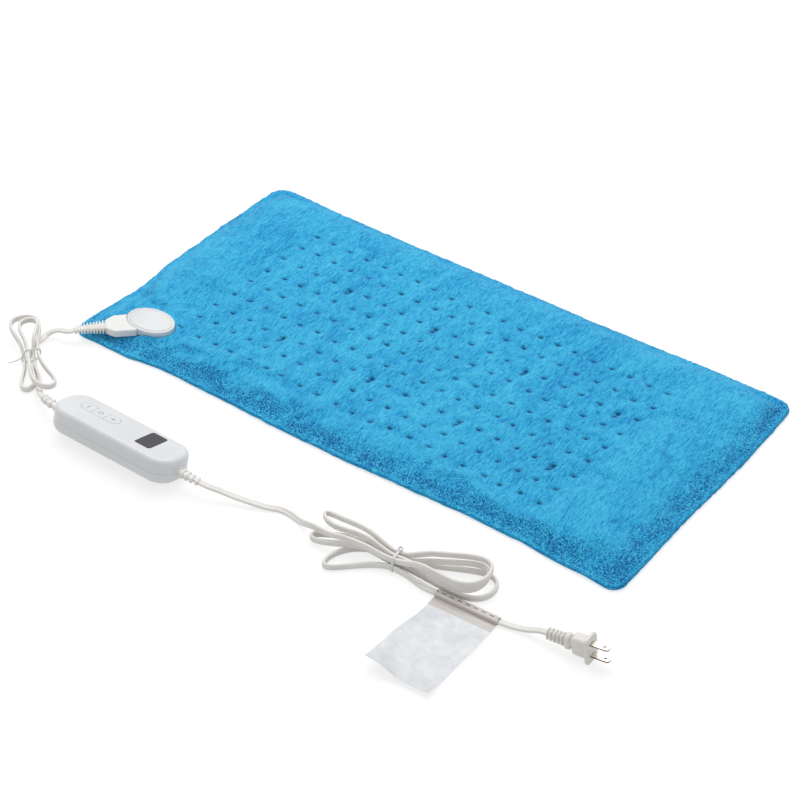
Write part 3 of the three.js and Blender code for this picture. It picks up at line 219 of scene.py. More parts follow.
# %% Outlines and layers
def rounded(corners, radii, steps=8):
    """An outline through corners, each rounded by an arc. The arc's centre lies on the corner's middle
    line, at the radius over the sine of half the corner's angle."""
    corners = np.asarray(corners, float)
    before, after = np.roll(corners, 1, 0) - corners, np.roll(corners, -1, 0) - corners
    before /= np.linalg.norm(before, axis=1, keepdims=True)
    after /= np.linalg.norm(after, axis=1, keepdims=True)
    half = np.arccos(np.clip((before * after).sum(1), -1, 1))[:, None] / 2
    middle = (before + after) / np.linalg.norm(before + after, axis=1, keepdims=True)
    radii = np.broadcast_to(radii, len(corners)).astype(float)[:, None]
    centre = corners + middle * radii / np.sin(half)
    first = corners + before * radii / np.tan(half) - centre
    last = corners + after * radii / np.tan(half) - centre
    t, sweep = np.linspace(0, 1, steps)[:, None, None], np.pi - 2 * half
    arcs = centre + (np.sin((1 - t) * sweep) * first + np.sin(t * sweep) * last) / np.sin(sweep)
    return arcs.transpose(1, 0, 2).reshape(-1, 2)


def rectangle(length, width, radius, centre=(0, 0), steps=8):
    """A rounded rectangle about a centre, counter-clockwise."""
    x, y = length / 2, width / 2
    corners = np.array([(x, y), (-x, y), (-x, -y), (x, -y)]) + centre
    return rounded(corners, np.minimum(radius, 0.998 * min(x, y)), steps)


def ellipse(half_length, half_width, points):
    """An ellipse about the origin."""
    t = np.linspace(0, 2 * np.pi, points, endpoint=False)
    return np.stack([half_length * np.cos(t), half_width * np.sin(t)], 1)


def offset(outline, reach):
    """An outline moved outwards square to itself: each point along the mean of its two edges' normals,
    over the cosine between them, so that straight sides stay parallel."""
    edge = np.roll(outline, -1, 0) - outline
    edge /= np.maximum(np.linalg.norm(edge, axis=1, keepdims=True), 1e-9)
    normal = np.stack([edge[:, 1], -edge[:, 0]], 1)
    mean = normal + np.roll(normal, 1, 0)
    mean /= np.linalg.norm(mean, axis=1, keepdims=True)
    slant = np.maximum((mean * normal).sum(1, keepdims=True), 0.6)
    return outline + mean / slant * np.reshape(reach, (-1, 1))


def at_height(outline, height):
    """An outline's points at one height, or each at a height of its own."""
    return np.column_stack([outline, np.broadcast_to(height, len(outline))])


def layers(outline, levels):
    """A closed shape: rings of the outline, each drawn in by an inset at a height, with flat ends."""
    return stacked([at_height(offset(outline, -inset), height) for inset, height in levels])


def edged(low, high, low_edge, high_edge, steps=6, flat=0.4):
    """Levels of a plate whose lower and upper edges are quarter rounds, each with a ring just inside it."""
    a = np.linspace(0, np.pi / 2, steps)
    rise = [(low_edge * (1 - math.sin(t)), low + low_edge * (1 - math.cos(t))) for t in a]
    fall = [(high_edge * (1 - math.sin(t)), high - high_edge * (1 - math.cos(t))) for t in a[::-1]]
    return [(low_edge + flat, low), *rise, *fall, (high_edge + flat, high)]


def prism(outline, low, high):
    """A closed shape with upright sides on an outline."""
    return layers(outline, [(0, low), (0, high)])


def bar(x, y, z, radius=0.3):
    """A rounded box between low and high values of x, y and z."""
    outline = rectangle(x[1] - x[0], y[1] - y[0], radius, ((x[0] + x[1]) / 2, (y[0] + y[1]) / 2), 5)
    return prism(outline, *z)


def post(x, y, radius, low, high, points=28):
    """A round post."""
    return prism(ellipse(radius, radius, points) + (x, y), low, high)


ALONG_X = (np.array([[0, 0, 1], [1, 0, 0], [0, 1, 0]], float), np.zeros(3))

# %% [markdown]
# Four pieces have frames of their own, the same as in the CAD source: the oval socket and the connector
# that points away from it, the controller rolled back on its lower edge, and the plug with its nose up.

# %% Frames of the socket, the connector, the controller and the plug
SOCKET_CENTRE = np.array([-250.8, -115.6, 0])
SOCKET_TURN, CONNECTOR_TURN = 5, 223
SOCKET = (turn("z", SOCKET_TURN), SOCKET_CENTRE)
CONNECTOR = (turn("z", CONNECTOR_TURN), SOCKET_CENTRE)
roll = turn("z", -1.6) @ turn("x", -16)
CONTROLLER = (roll, np.array([-160.9, -265.9, 16.941]) - roll @ np.array([0, 0, 13]))
PLUG = (turn("z", 3) @ turn("y", -6), np.array([329.5, -237.5, 13.85]))

# %% [markdown]
# ## Camera
#
# The photograph was taken from the front left, looking down, through a long lens: the pad's long
# sides hardly converge. Its place follows from the four corners of the pad.

# %% Camera
def add_camera(azimuth, elevation, distance, target, lens):
    """A camera at that distance from the target, its direction given by two angles in degrees."""
    a, e = math.radians(azimuth), math.radians(elevation)
    back = np.array([math.sin(a) * math.cos(e), -math.cos(a) * math.cos(e), math.sin(e)])
    data = bpy.data.cameras.new("camera")
    data.lens, data.sensor_width, data.clip_end = lens, 36, 100
    camera = shown("camera", data)
    camera.location = (np.array(target) + back * distance) * MM
    camera.rotation_euler = Vector(-back).to_track_quat("-Z", "Y").to_euler()
    bpy.context.scene.camera = camera


add_camera(35.9, 39.8, 2490, (0.4, -55.6, 0), 120)

# %% [markdown]
# ## Tools for materials
#
# Colours are written as sRGB, the way a paint program shows them. Blender's shaders count light, so
# each is turned to linear first. One function adds any node with its settings and its links.

# %% Colours and nodes
def linear(code):
    """An sRGB hex colour in linear light: a straight part near black, and a power of 2.4 above it."""
    value = np.array([int(code[k:k + 2], 16) for k in (1, 3, 5)]) / 255
    lit = np.where(value <= 0.04045, value / 12.92, ((value + 0.055) / 1.055) ** 2.4)
    return (*map(float, lit), 1.0)


def node(tree, kind, values=None, links=None, **settings):
    """A new node, with its options and the values of its sockets set and other nodes' outputs linked to
    it."""
    made = tree.nodes.new("ShaderNode" + kind)
    for name, value in settings.items():
        setattr(made, name, value)
    for name, value in (values or {}).items():
        made.inputs[name].default_value = value
    for name, output in (links or {}).items():
        tree.links.new(output, made.inputs[name])
    return made


def material(name, colour, roughness, **sockets):
    """A material with one Principled shader, and its node tree and shader for what is added to it."""
    made = bpy.data.materials.new(name)
    made.use_nodes = True
    shader = made.node_tree.nodes["Principled BSDF"]
    shader.inputs["Base Color"].default_value = linear(colour)
    shader.inputs["Roughness"].default_value = roughness
    for socket, value in sockets.items():
        shader.inputs[socket.replace("_", " ")].default_value = value
    return made, made.node_tree, shader


def ramp(tree, factor, stops):
    """A colour ramp over a factor, its stops given as place and sRGB colour."""
    made = node(tree, "ValToRGB", links={"Fac": factor})
    first, last = made.color_ramp.elements
    first.position, first.color = stops[0][0], linear(stops[0][1])
    last.position, last.color = stops[-1][0], linear(stops[-1][1])
    for place, colour in stops[1:-1]:
        made.color_ramp.elements.new(place).color = linear(colour)
    return made.outputs["Color"]


def worked_out(tree, operation, *values):
    """The result of a sum on numbers and other nodes' outputs."""
    made = node(tree, "Math", operation=operation)
    for socket, value in zip(made.inputs, values):
        if isinstance(value, (int, float)):
            socket.default_value = value
        else:
            tree.links.new(value, socket)
    return made.outputs[0]


def noise(tree, place, size, detail, **values):
    """A noise whose lumps are about as wide as size in mm, which may differ along X, Y and Z."""
    if np.ndim(size):
        scales = [1 / (width * MM) for width in size]
        place = node(tree, "Mapping", {"Scale": scales}, {"Vector": place}).outputs["Vector"]
    scale = 1.0 if np.ndim(size) else 1 / (size * MM)
    values = {"Scale": scale, "Detail": detail, **values}
    return node(tree, "TexNoise", values, {"Vector": place}).outputs["Fac"]


def painted(tree, colour, under, share):
    """One colour over another, as far as the share says."""
    links = {"A": under, "Factor": share}
    return node(tree, "Mix", {"B": linear(colour)}, links, data_type="RGBA").outputs["Result"]


def colour_and_bump(tree, shader, colour, height, strength, depth):
    """Links a colour to the shader, and a height as bumps of that depth in mm."""
    bump = node(tree, "Bump", {"Strength": strength, "Distance": depth * MM}, {"Height": height})
    tree.links.new(colour, shader.inputs["Base Color"])
    tree.links.new(bump.outputs["Normal"], shader.inputs["Normal"])


# %% [markdown]
# Moulded plastic is never quite even. Its colour drifts by a trace over some centimetres, where the
# melt cooled at different speeds, and its skin copies the fine texture of the steel mould.

# %% Moulded plastic
def moulded(name, light, dark, roughness, grain, depth, **sockets):
    """Plastic whose colour drifts from light to dark over 40 mm, with mould grain of that size and depth
    in mm."""
    made, tree, shader = material(name, light, roughness, **sockets)
    place = node(tree, "TexCoord").outputs["Object"]
    drift = noise(tree, place, 40, 2.0)
    wear = node(tree, "MapRange", {"From Min": 0.3, "From Max": 0.7, "To Min": roughness * 0.85,
                                   "To Max": roughness * 1.2}, {"Value": drift})
    tree.links.new(wear.outputs["Result"], shader.inputs["Roughness"])
    tint = ramp(tree, drift, [(0.35, dark), (0.65, light)])
    colour_and_bump(tree, shader, tint, noise(tree, place, grain, 3.0), 1.0, depth)
    return made


abs_gloss = moulded("abs_gloss_white", "#E3E5E7", "#DEE0E2", 0.3, 1.6, 0.004, IOR=1.54)
abs_satin = moulded("abs_satin_white", "#EFEFED", "#EAEAE8", 0.38, 1.2, 0.006, IOR=1.54)
pvc_cord = moulded("pvc_cord_sheath", "#F0EEEA", "#E8E5E0", 0.42, 1.4, 0.02, IOR=1.52)
pvc_moulded = moulded("pvc_moulded_relief", "#EFEDE8", "#E7E4DE", 0.42, 1.2, 0.015, IOR=1.52)

# %% Metals and the tie's coating
def metal(name, light, dark, roughness, edge=None):
    """A plated metal, rolled along X: faint lines a millimetre apart, and a tone that drifts over 6 mm.
    Stamped faces, those that stand upright, may have a colour of their own."""
    made, tree, shader = material(name, light, roughness, Metallic=1.0)
    coordinates = node(tree, "TexCoord").outputs
    tone = ramp(tree, noise(tree, coordinates["Object"], 6, 2.0), [(0.3, dark), (0.7, light)])
    if edge:
        facing = node(tree, "SeparateXYZ", {}, {"Vector": coordinates["Normal"]}).outputs["Z"]
        upright = worked_out(tree, "LESS_THAN", worked_out(tree, "ABSOLUTE", facing), 0.75)
        tone = painted(tree, edge, tone, upright)
    tree.links.new(tone, shader.inputs["Base Color"])
    line = noise(tree, coordinates["Object"], (25, 10 / 9, 10 / 9), 2.0)
    rough = node(tree, "MapRange", {"To Min": roughness * 0.9, "To Max": roughness * 1.15}, {"Value": line})
    tree.links.new(rough.outputs["Result"], shader.inputs["Roughness"])
    return made


nickel = metal("nickel_plating", "#D8D3CA", "#C9C3B9", 0.26)
blade_nickel = metal("nickel_plated_blade", "#E3DED5", "#D6D0C5", 0.26, "#66503C")
brass = metal("brass_contact", "#D9B56A", "#C8A257", 0.3)
tie_coating = moulded("vinyl_coated_wire", "#E3E3E4", "#D8D8DA", 0.4, 0.8, 0.01, IOR=1.52)

# %% [markdown]
# ## Cords
#
# Both cords are flat, two cores side by side in one vinyl sheath, with a groove between them.
# They lie flat where they run free, and stand on edge where they are folded into a hank, because a
# flat cord bends easily only the thin way. Their routes are those of the CAD source, point by point.

# %% Routes of the two hanks
lead_hank = {
    "at": (-316, -215), "turn": -42, "sense": -1, "climb": 17.5,
    "slots": [(-1.94, 4.7), (-6.66, 4.7), (6.98, 11.4), (-2.92, 11.4), (2.71, 4.7)],
    "lobes": [(1, 44.1, 5.02, -4.26, 3.4, 3.44), (-1, 57.03, 9.62, -1.93, 10.51, 10.52),
              (1, 56.97, 6.32, 9.43, 10.97, 13.83), (-1, 42.88, 6.85, 2.9, 17.49, 17.52)],
}
lead_entry = [(-328.6, -186, 3.6), (-328.3, -192.5, 3.4), (-326.3, -200, 3.9), (-322.8, -208.2, 4)]
lead_exit = [(-305, -222, 4.2), (-296.1, -228.6, 3.5), (-288.2, -235.7, 3.5), (-280.1, -244.2, 4.7),
             (-273.5, -250, 7.4)]
mains_hank = {
    "at": (130.5, -240), "turn": 8, "sense": 1, "climb": 32.3,
    "slots": [(-5.44, 11.4), (4.66, 11.4), (-0.69, 11.4), (3.13, 4.7), (-1.69, 4.7), (8.41, 4.7),
              (-8.04, 4.7)],
    "lobes": [(1, 83.82, 15, 11.98, 19.67, 17.4), (-1, 82.5, 4.2, 18.5, 20.81, 10.14),
              (1, 81.55, 15.98, 9.01, 11.46, 10.44), (-1, 81.99, 4.09, -5.94, 12.03, 5.03),
              (1, 90.41, 14, 6.04, 3.4, 3.49), (-1, 56.85, 7.93, -26.32, 3.4, 3.4)],
}
mains_entry = [(-18, -252.5, 4.3), (-11.9, -250.4, 3.3), (-4, -246.9, 2.2), (4.9, -243.2, 1.9),
               (15.3, -242.7, 1.9), (29.7, -246.2, 3.5), (46.8, -251.5, 11.1), (66.5, -253.8, 14.5),
               (88.2, -253, 18.5), (107, -250.5, 17.5), (121, -248.1, 13.6)]
mains_exit = [(144, -247, 3.5), (156, -248.8, 3.4), (167, -249.6, 2.7), (177, -249.3, 2.7)]


# %% [markdown]
# A folded loop of cord is a teardrop: narrow at the tie, round at its far end. One lobe is a sine
# out and back, and a double-speed sine opens it sideways.

# %% Lobes of a hank
def lobe(hank, index, steps=44):
    """Points of one lobe: out and back as a half sine, sideways as a full sine times that, height eased
    from the strand's slot in the tie to the lobe's own level."""
    side, reach, half_width, drift, level, tip_level = hank["lobes"][index]
    (from_across, from_height), (to_across, to_height) = hank["slots"][index:index + 2]
    share = np.linspace(0, 1, steps + 1)
    arch = np.sin(np.pi * share)
    out = reach * arch
    swell = np.sin(2 * np.pi * share) * arch / 0.77
    across = from_across + (to_across - from_across) * ease(share)
    across += drift * arch**2 - hank["sense"] * side * half_width * swell
    slot_height = np.where(share < 0.5, from_height, to_height)
    high = level + (tip_level - level) * ease((out - hank["climb"]) / (reach - hank["climb"]))
    height = slot_height + (high - slot_height) * ease(out / hank["climb"])
    c, s = math.cos(math.radians(hank["turn"])), math.sin(math.radians(hank["turn"]))
    x = hank["at"][0] + c * side * out - s * across
    y = hank["at"][1] + s * side * out + c * across
    return np.stack([x, y, height], 1)


def wound(hank):
    """All lobes of a hank in a row, each starting where the one before it ends."""
    rows = [lobe(hank, k)[0 if k == 0 else 1:] for k in range(len(hank["lobes"]))]
    return np.concatenate(rows)


def smooth_row(points, step):
    """Evenly spaced points on a centripetal Catmull-Rom curve: knots lie apart by the root of the
    distance between points, and three rounds of blending between neighbours give each stretch."""
    p = np.asarray(points, float)
    p = np.concatenate([[2 * p[0] - p[1]], p, [2 * p[-1] - p[-2]]])
    knot = np.concatenate([[0], np.cumsum(np.sqrt(np.linalg.norm(np.diff(p, axis=0), axis=1)))])
    a, b, c, d = (p[k:len(p) - 3 + k][:, None] for k in range(4))
    ta, tb, tc, td = (knot[k:len(p) - 3 + k][:, None, None] for k in range(4))
    t = tb + (tc - tb) * np.linspace(0, 1, 24, endpoint=False)[None, :, None]
    ab = ((tb - t) * a + (t - ta) * b) / (tb - ta)
    bc = ((tc - t) * b + (t - tb) * c) / (tc - tb)
    cd = ((td - t) * c + (t - tc) * d) / (td - tc)
    abc = ((tc - t) * ab + (t - ta) * bc) / (tc - ta)
    bcd = ((td - t) * bc + (t - tb) * cd) / (td - tb)
    row = np.concatenate([(((tc - t) * abc + (t - tb) * bcd) / (tc - tb)).reshape(-1, 3), p[-2:-1]])
    along = distances(row)
    at = np.linspace(0, along[-1], max(2, round(along[-1] / step)) + 1)
    return np.stack([np.interp(at, along, row[:, k]) for k in range(3)], 1)


def distances(row):
    """How far along the row each of its points lies."""
    return np.concatenate([[0], np.cumsum(np.linalg.norm(np.diff(row, axis=0), axis=1))])


def straight(place, bend, tip, reaches):
    """Points that carry on from a relief's tip in the direction from its bend to its tip."""
    bend, tip = placed(bend, place), placed(tip, place)
    way = (tip - bend) / np.linalg.norm(tip - bend)
    return [tuple(tip + way * reach) for reach in reaches]


def arrival(first, second, reach=6.5):
    """The point before the first one, straight in line with the first two."""
    first, second = np.array(first, float), np.array(second, float)
    return tuple(first + (first - second) / np.linalg.norm(first - second) * reach)


# %% [markdown]
# The sheath's section is a stadium with a shallow groove across its middle on both flats. It is
# carried along the route on upright frames, and a lean of a quarter turn stands it on edge.

# %% Flat cord
CORD_WIDTH, LEAD_THICKNESS, MAINS_THICKNESS = 6.2, 3.1, 3.4


def flat_cord_section(thickness, points=30, groove=0.5, groove_width=0.6):
    """A stadium [across, up]: a circle whose sides are spread apart, thinned by a bell curve at the
    middle."""
    t = np.linspace(0, 2 * np.pi, points, endpoint=False)
    half_run = (CORD_WIDTH - thickness) / 2
    across = half_run * np.clip(1.5 * np.cos(t), -1, 1) + thickness / 2 * np.cos(t)
    up = thickness / 2 * np.sin(t) * (1 - groove * np.exp(-(across / groove_width) ** 2))
    return np.stack([across, up], 1)


def swept(row, section, lean=0.0):
    """A closed tube: the section carried along a row of points, its first axis level and square to the
    row, then turned about the row by lean. Both ends are closed with one face each."""
    tangent = np.gradient(row, axis=0)
    tangent /= np.linalg.norm(tangent, axis=1, keepdims=True)
    side = np.cross(tangent, [0, 0, 1])
    side /= np.linalg.norm(side, axis=1, keepdims=True)
    rise = np.cross(side, tangent)
    lean = np.broadcast_to(lean, len(row))[:, None]
    across = side * np.cos(lean) + rise * -np.sin(lean)
    up = np.cross(across, tangent)
    section = np.broadcast_to(section, (len(row), *np.shape(section)[-2:]))
    return stacked(row[:, None] + across[:, None] * section[..., :1] + up[:, None] * section[..., 1:])


def add_cord(name, parts, turn_shares, thickness, stands_for, **facts):
    """A flat cord through its run, its hank's entry, lobes and exit, and its last run, as one unbroken
    tube. It lies flat in the runs and turns on edge within a share of the entry and the exit."""
    before, entry, loops, leaving, after = parts
    row = smooth_row([*before, *entry, *loops, *leaving, *after], 1.6)
    along = distances(row)
    marks = [along[np.linalg.norm(row - np.array(point), axis=1).argmin()]
             for point in (entry[0], loops[0], loops[-1], leaving[-1])]
    rise = ease((along - marks[0]) / ((marks[1] - marks[0]) * turn_shares))
    fall = ease((marks[3] - along) / ((marks[3] - marks[2]) * turn_shares))
    shape = swept(row, flat_cord_section(thickness), np.pi / 2 * np.minimum(rise, fall))
    made = piece(name, shape, pvc_cord, "control_set")
    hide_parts(*stands_for)
    print(name, "is", round(along[-1]), "mm long")


lead_gland_line = ((-85.5, 0, 12), (-100.5, 6.6, 9.8))
mains_gland_line = ((83.5, 0, 12), (94.5, 2, 10.8))
lead_parts = (
    [*straight(CONNECTOR, (58.5, 0, 13.3), (73.7, 0, 12.1), (-1, 6.5)), (-318.6, -171.8, 9.6),
     (-324.8, -174.6, 7), arrival(lead_entry[0], lead_entry[1])],
    lead_entry, wound(lead_hank), lead_exit, straight(CONTROLLER, *lead_gland_line, (6.5, -1)),
)
mains_parts = (
    [*straight(CONTROLLER, *mains_gland_line, (-1, 6.5)), (-47.5, -261.8, 10), (-34, -257.8, 7),
     arrival(mains_entry[0], mains_entry[1])],
    mains_entry, wound(mains_hank), mains_exit,
    [arrival(mains_exit[-1], mains_exit[-2]), (212, -247.9, 2.7), (242, -246.7, 2.7), (257, -244.4, 2.9),
     (268, -242.3, 4.6), *straight(PLUG, (-21.3, 0, 0), (-42.3, 0, 0), (6.5, -1))],
)
add_cord("lead_cord", lead_parts, 0.8, LEAD_THICKNESS, ["lead_run", "lead_hank"], far_end="object")

# %% [markdown]
# The plug is moulded onto the cord: a face plate to hold it by, a body, a round collar, and a ribbed
# relief that lets the cord bend without breaking at the plug. The blades are nickel-plated brass.

# %% Ribbed relief
def add_relief(name, stands_for, place, points, widths, heights, ribs, core, neck=(0, 0, 0)):
    """A tapered tube with ribs along a smooth row: half width and half height fall evenly from root to
    tip, and between ribs they drop to a share of that. The first share of the row may be a neck of its
    own size."""
    row = smooth_row([placed(point, place) for point in points], 0.22)
    share = distances(row) / distances(row)[-1]
    wave = np.clip(0.55 - 1.7 * np.cos(2 * np.pi * ribs * share), 0, 1)
    rib = core + (1 - core) * ease(wave)
    t = np.linspace(0, 2 * np.pi, 40, endpoint=False)
    way = np.stack([np.cos(t), np.sin(t)], 1)
    square = np.sign(way) * np.abs(way) ** 0.62
    root, tip = np.transpose([widths, heights])
    size = np.where(share[:, None] < neck[0], neck[1:], (root + (tip - root) * share[:, None]) * rib[:, None])
    ribbed = swept(row, square * size[:, None])
    return piece(name, ribbed, pvc_moulded, "control_set", stands_for=[stands_for])


# %% Plug
BLADE_SPACING, BLADE_WIDTH, BLADE_THICKNESS, BLADE_SLACK = 12.7, 6.35, 1.5, 0.3


def add_plug():
    """The moulded body, its relief and the two blades, as separate pieces."""
    face = put(layers(rectangle(18, 27, 4.6), edged(-3, 0, 0.9, 0.7)), ALONG_X)
    body_levels = [(3.0, -18), (1.9, -17.7), (0.9, -16.8), (0.3, -14.8), (0, -11), (0, -2.2)]
    body = put(layers(rectangle(12, 19, 3.2), body_levels), ALONG_X)
    collar = put(layers(rectangle(11, 16.2, 5.3), edged(-25.2, -19.4, 2.2, 2.2)), ALONG_X)
    neck = put(prism(rectangle(7.5, 9.5, 3.4), -24, -17), ALONG_X)
    wide, half = BLADE_WIDTH / 2, BLADE_THICKNESS / 2
    heights = (-BLADE_SPACING / 2, BLADE_SPACING / 2)
    slot, reach = wide + BLADE_SLACK, half + BLADE_SLACK
    ways = [bar((-6.3, 4), (-slot, slot), (z - reach, z + reach)) for z in heights]
    changes = [*grown(body, neck, collar), *cut(*ways)]
    made = [piece("plug_moulding", face, pvc_moulded, "control_set", changes, PLUG, 40,
                  stands_for=["plug_body"])]
    row = [(-22, 0, 0), (-25, 0, 0), (-34, 0, 0), (-42.3, 0, 0)]
    made.append(add_relief("plug_relief", "plug_strain_relief", PLUG, row, (4.9, 4.3), (6.0, 5.2), 5.5, 0.5))
    corners = [(-6, -wide), (15.2, -wide), (17, -1.5), (17, 1.5), (15.2, wide), (-6, wide)]
    outline = rounded(corners, [0.1, 1.2, 0.8, 0.8, 1.2, 0.1])
    for k, z in enumerate(heights, 1):
        blank = layers(outline, edged(z - half, z + half, 0.15, 0.15, 3, 0.1))
        hole = post(12.5, 0, 1.5, z - 2, z + 2)
        made.append(piece(f"plated_blade_{k}", blank, blade_nickel, "control_set", cut(hole), PLUG, 35,
                          stands_for=[f"plug_blade_{k}"]))
    return made


plug_pieces = add_plug()

# %% [markdown]
# The tag is a strip of thin plastic film folded round the cord and sealed to itself. It has been
# packed flat and curls a little. Its print is left out, apart from the dashed line at the fold.

# %% Tag
TAG = (turn("z", 2.3), np.array([210.8, -247.95, 0]))
TAG_WIDTH, FILM, FOLD_LINE, SEALED = 63, 0.28, 14.5, 38


def film():
    """White plastic film: fine creases along and across, glossy, browner from the fold to the seal, partly
    for the doubled film and partly as painted shade of the cord beneath it, with a dashed line printed at the
    fold."""
    made, tree, shader = material("printed_film", "#E9EBEE", 0.24, IOR=1.5)
    place = node(tree, "UVMap").outputs["UV"]
    crease_values = {"Scale": 1 / 9.0, "Detail": 4.0, "Distortion": 0.8}
    crease = node(tree, "TexNoise", crease_values, {"Vector": place}).outputs["Fac"]
    clear = ramp(tree, crease, [(0.35, "#D9DCE1"), (0.65, "#E6E9EC")])
    axes = node(tree, "SeparateXYZ", {}, {"Vector": place}).outputs
    # Browner from the fold to the seal: the doubled film, and painted shade of the cord under it.
    tint = painted(tree, "#CBC5BF", clear, worked_out(tree, "LESS_THAN", axes["Y"], SEALED))
    dash = worked_out(tree, "LESS_THAN", worked_out(tree, "PINGPONG", axes["X"], 4.0), 2.3)
    at_fold = worked_out(tree, "COMPARE", axes["Y"], FOLD_LINE, 0.5)
    printed = painted(tree, "#4A4848", tint, worked_out(tree, "MULTIPLY", dash, at_fold))
    colour_and_bump(tree, shader, printed, crease, 0.6, 0.5)
    return made


def add_tag():
    """The strip's middle line round the cord and out over the floor, spread along the cord, waved,
    thickened."""
    line = [(3.3, 0.9), (-3.2, 0.75), (-3.75, 2.7), (-3.2, 4.75), (0, 4.95), (3.2, 4.75), (3.75, 2.7),
            (3.3, 1.5), (-3.4, 1.35), (-8, 1.5), (-16, 0.8), (-30, 1.8), (-45, 2.9), (-60, 2.3), (-76, 1),
            (-92, 1.9), (-105, 4.8)]
    row = smooth_row([(0, across, height) for across, height in line], 0.6)
    x, along = np.linspace(-TAG_WIDTH / 2, TAG_WIDTH / 2, 64), distances(row)[:, None]
    tangent = np.gradient(row, axis=0)
    tangent /= np.linalg.norm(tangent, axis=1, keepdims=True)
    normal = np.stack([np.zeros(len(row)), -tangent[:, 2], tangent[:, 1]], 1)[:, None]
    loose = ease((along - 32) / 25)
    wave = 0.5 * np.sin(x / 7 + along / 13) + 0.4 * np.sin(x / 4.3 - along / 9 + 1)
    curl = 10 * ease((10 - x) / 44) * ease((along - 45) / 75)
    middle = np.zeros((len(row), len(x), 3))
    middle[..., 0] = x - 3.0 * ease((along - 30) / 90)
    middle[..., 1:] = row[:, None, 1:]
    middle[..., 2] += np.maximum(loose * wave + curl, -0.35 * loose)
    shape = double_sheet(middle + FILM / 2 * normal, middle - FILM / 2 * normal)
    made = piece("folded_tag", shape, printed_film, "control_set", place=TAG, sharp=60,
                 stands_for=["cord_tag"])
    uv = np.stack(np.broadcast_arrays(x, along), -1).reshape(-1, 2).astype(np.float32)
    corner = np.zeros(len(made.data.loops), np.int32)
    made.data.loops.foreach_get("vertex_index", corner)
    made.data.uv_layers.new(name="film").data.foreach_set("uv", uv[corner % len(uv)].ravel())
    return made


printed_film = film()
tag = add_tag()

# %% [markdown]
# Each hank is held by a tie. The lead has a thin coated wire, twisted once at the side with one end
# left standing out. The mains cord has a flat band whose ends are turned into a small ring on top.

# %% Ties
def round_strands(hank, reach):
    """The shortest loop round a hank's strands at the tie: in each direction, the edge of the outermost
    strand plus reach."""
    t = np.linspace(0.9 * np.pi, -1.1 * np.pi, 120)
    way = np.stack([np.cos(t), np.sin(t)], 1)
    middles = np.array(hank["slots"])
    ends = np.concatenate([middles + (0, 1.5), middles - (0, 1.5)])
    points = ends[(way @ ends.T).argmax(1)] + way * (1.6 + reach)
    points[:, 1] = np.maximum(points[:, 1], 0.7)
    return [(0, across, height) for across, height in points]


def add_ties():
    """The wire with its tail, and the band with its small ring of twisted ends. Each tie's frame has its
    first axis along the strands and its second across them."""
    tail = [(0.6, -22.5, 3.4), (0.5, -18, 3.6), (0.3, -13.5, 4.6)]
    wire = swept(smooth_row([*tail, *round_strands(lead_hank, 0.6)], 0.4), ellipse(0.55, 0.55, 14))
    loop = swept(smooth_row(round_strands(mains_hank, 0.4), 0.4), rectangle(2.4, 0.7, 0.3, steps=4))
    t = np.linspace(-0.3, 1.35, 40)[:, None] * 2 * np.pi
    x, y, z = 0.8 + 2.0 * np.sin(t), 5.4 + 1.5 * np.cos(t), 15.9 + 0.9 * np.cos(t) + 0.14 * t
    ring = np.concatenate([x, y, z], 1)
    band = merged(loop, swept(ring, ellipse(0.55, 0.55, 12)))
    for name, shape, hank, node_name in (("wire_tie", wire, lead_hank, "lead_tie"),
                                         ("band_tie", band, mains_hank, "mains_tie")):
        place = (turn("z", hank["turn"]), np.array([*hank["at"], 0]))
        piece(name, shape, tie_coating, "control_set", place=place, stands_for=[node_name])


add_ties()

# %% Mains cord
add_cord("mains_cord", mains_parts, 0.6, MAINS_THICKNESS, ["mains_run_a", "mains_hank", "mains_run_b"],
         far_end="plug", with_pieces=[*plug_pieces, tag])

# %% [markdown]
# ## Pad
#
# The pad is two plush covers round a thin carrier with the heating wire. The upper cover is held
# down by 189 small tufts, so it swells a little between them, and slopes away to its sewn border.
# A cloth simulation finds that swelling: the tufts, the border and the underside are pinned, the
# rest is a sheet two hundredths too large for its place, and a light pressure lifts it.

# %% Outline and height of the pad
HALF_LENGTH, HALF_WIDTH, PAD_CORNER = 305.0, 152.5, 15.0
ROLL = 4.0
RIM_HEIGHT, CROWN_HEIGHT, SEAT_HEIGHT, PUSHED_HEIGHT = 4.6, 11.3, 8.9, 13.4
SIDES = {
    "front": [(-305, 6.5), (-242, 6), (-224, 3), (-208, 1), (-135, 2.2), (-63, 4.5), (6, 4.5), (72, 2.2),
              (136, 0), (200, 0.3), (234, 3.2), (265, 4.3), (305, 7.2)],
    "back": [(-305, -5), (-206, -7.5), (90, -6.3), (150, -5), (205, -2.8), (305, -2.4)],
    "left": [(-152, 10), (-126, 8.4), (-100, 4.4), (-73, 0.2), (-49, 0.1), (-26, 2.3), (50, -0.7),
             (103, -3.5), (152, -6)],
    "right": [(-152, 1), (-46, 0.2), (20, 2), (54, 2.8), (91, 2.1), (152, 0)],
}


def side_shift(side, at):
    """How far that side of the sewn pad lies outside a true rectangle, eased from one place to the next."""
    places, shifts = np.transpose(SIDES[side])
    k = np.clip(np.searchsorted(places, at) - 1, 0, len(places) - 2)
    return shifts[k] + (shifts[k + 1] - shifts[k]) * ease((at - places[k]) / (places[k + 1] - places[k]))


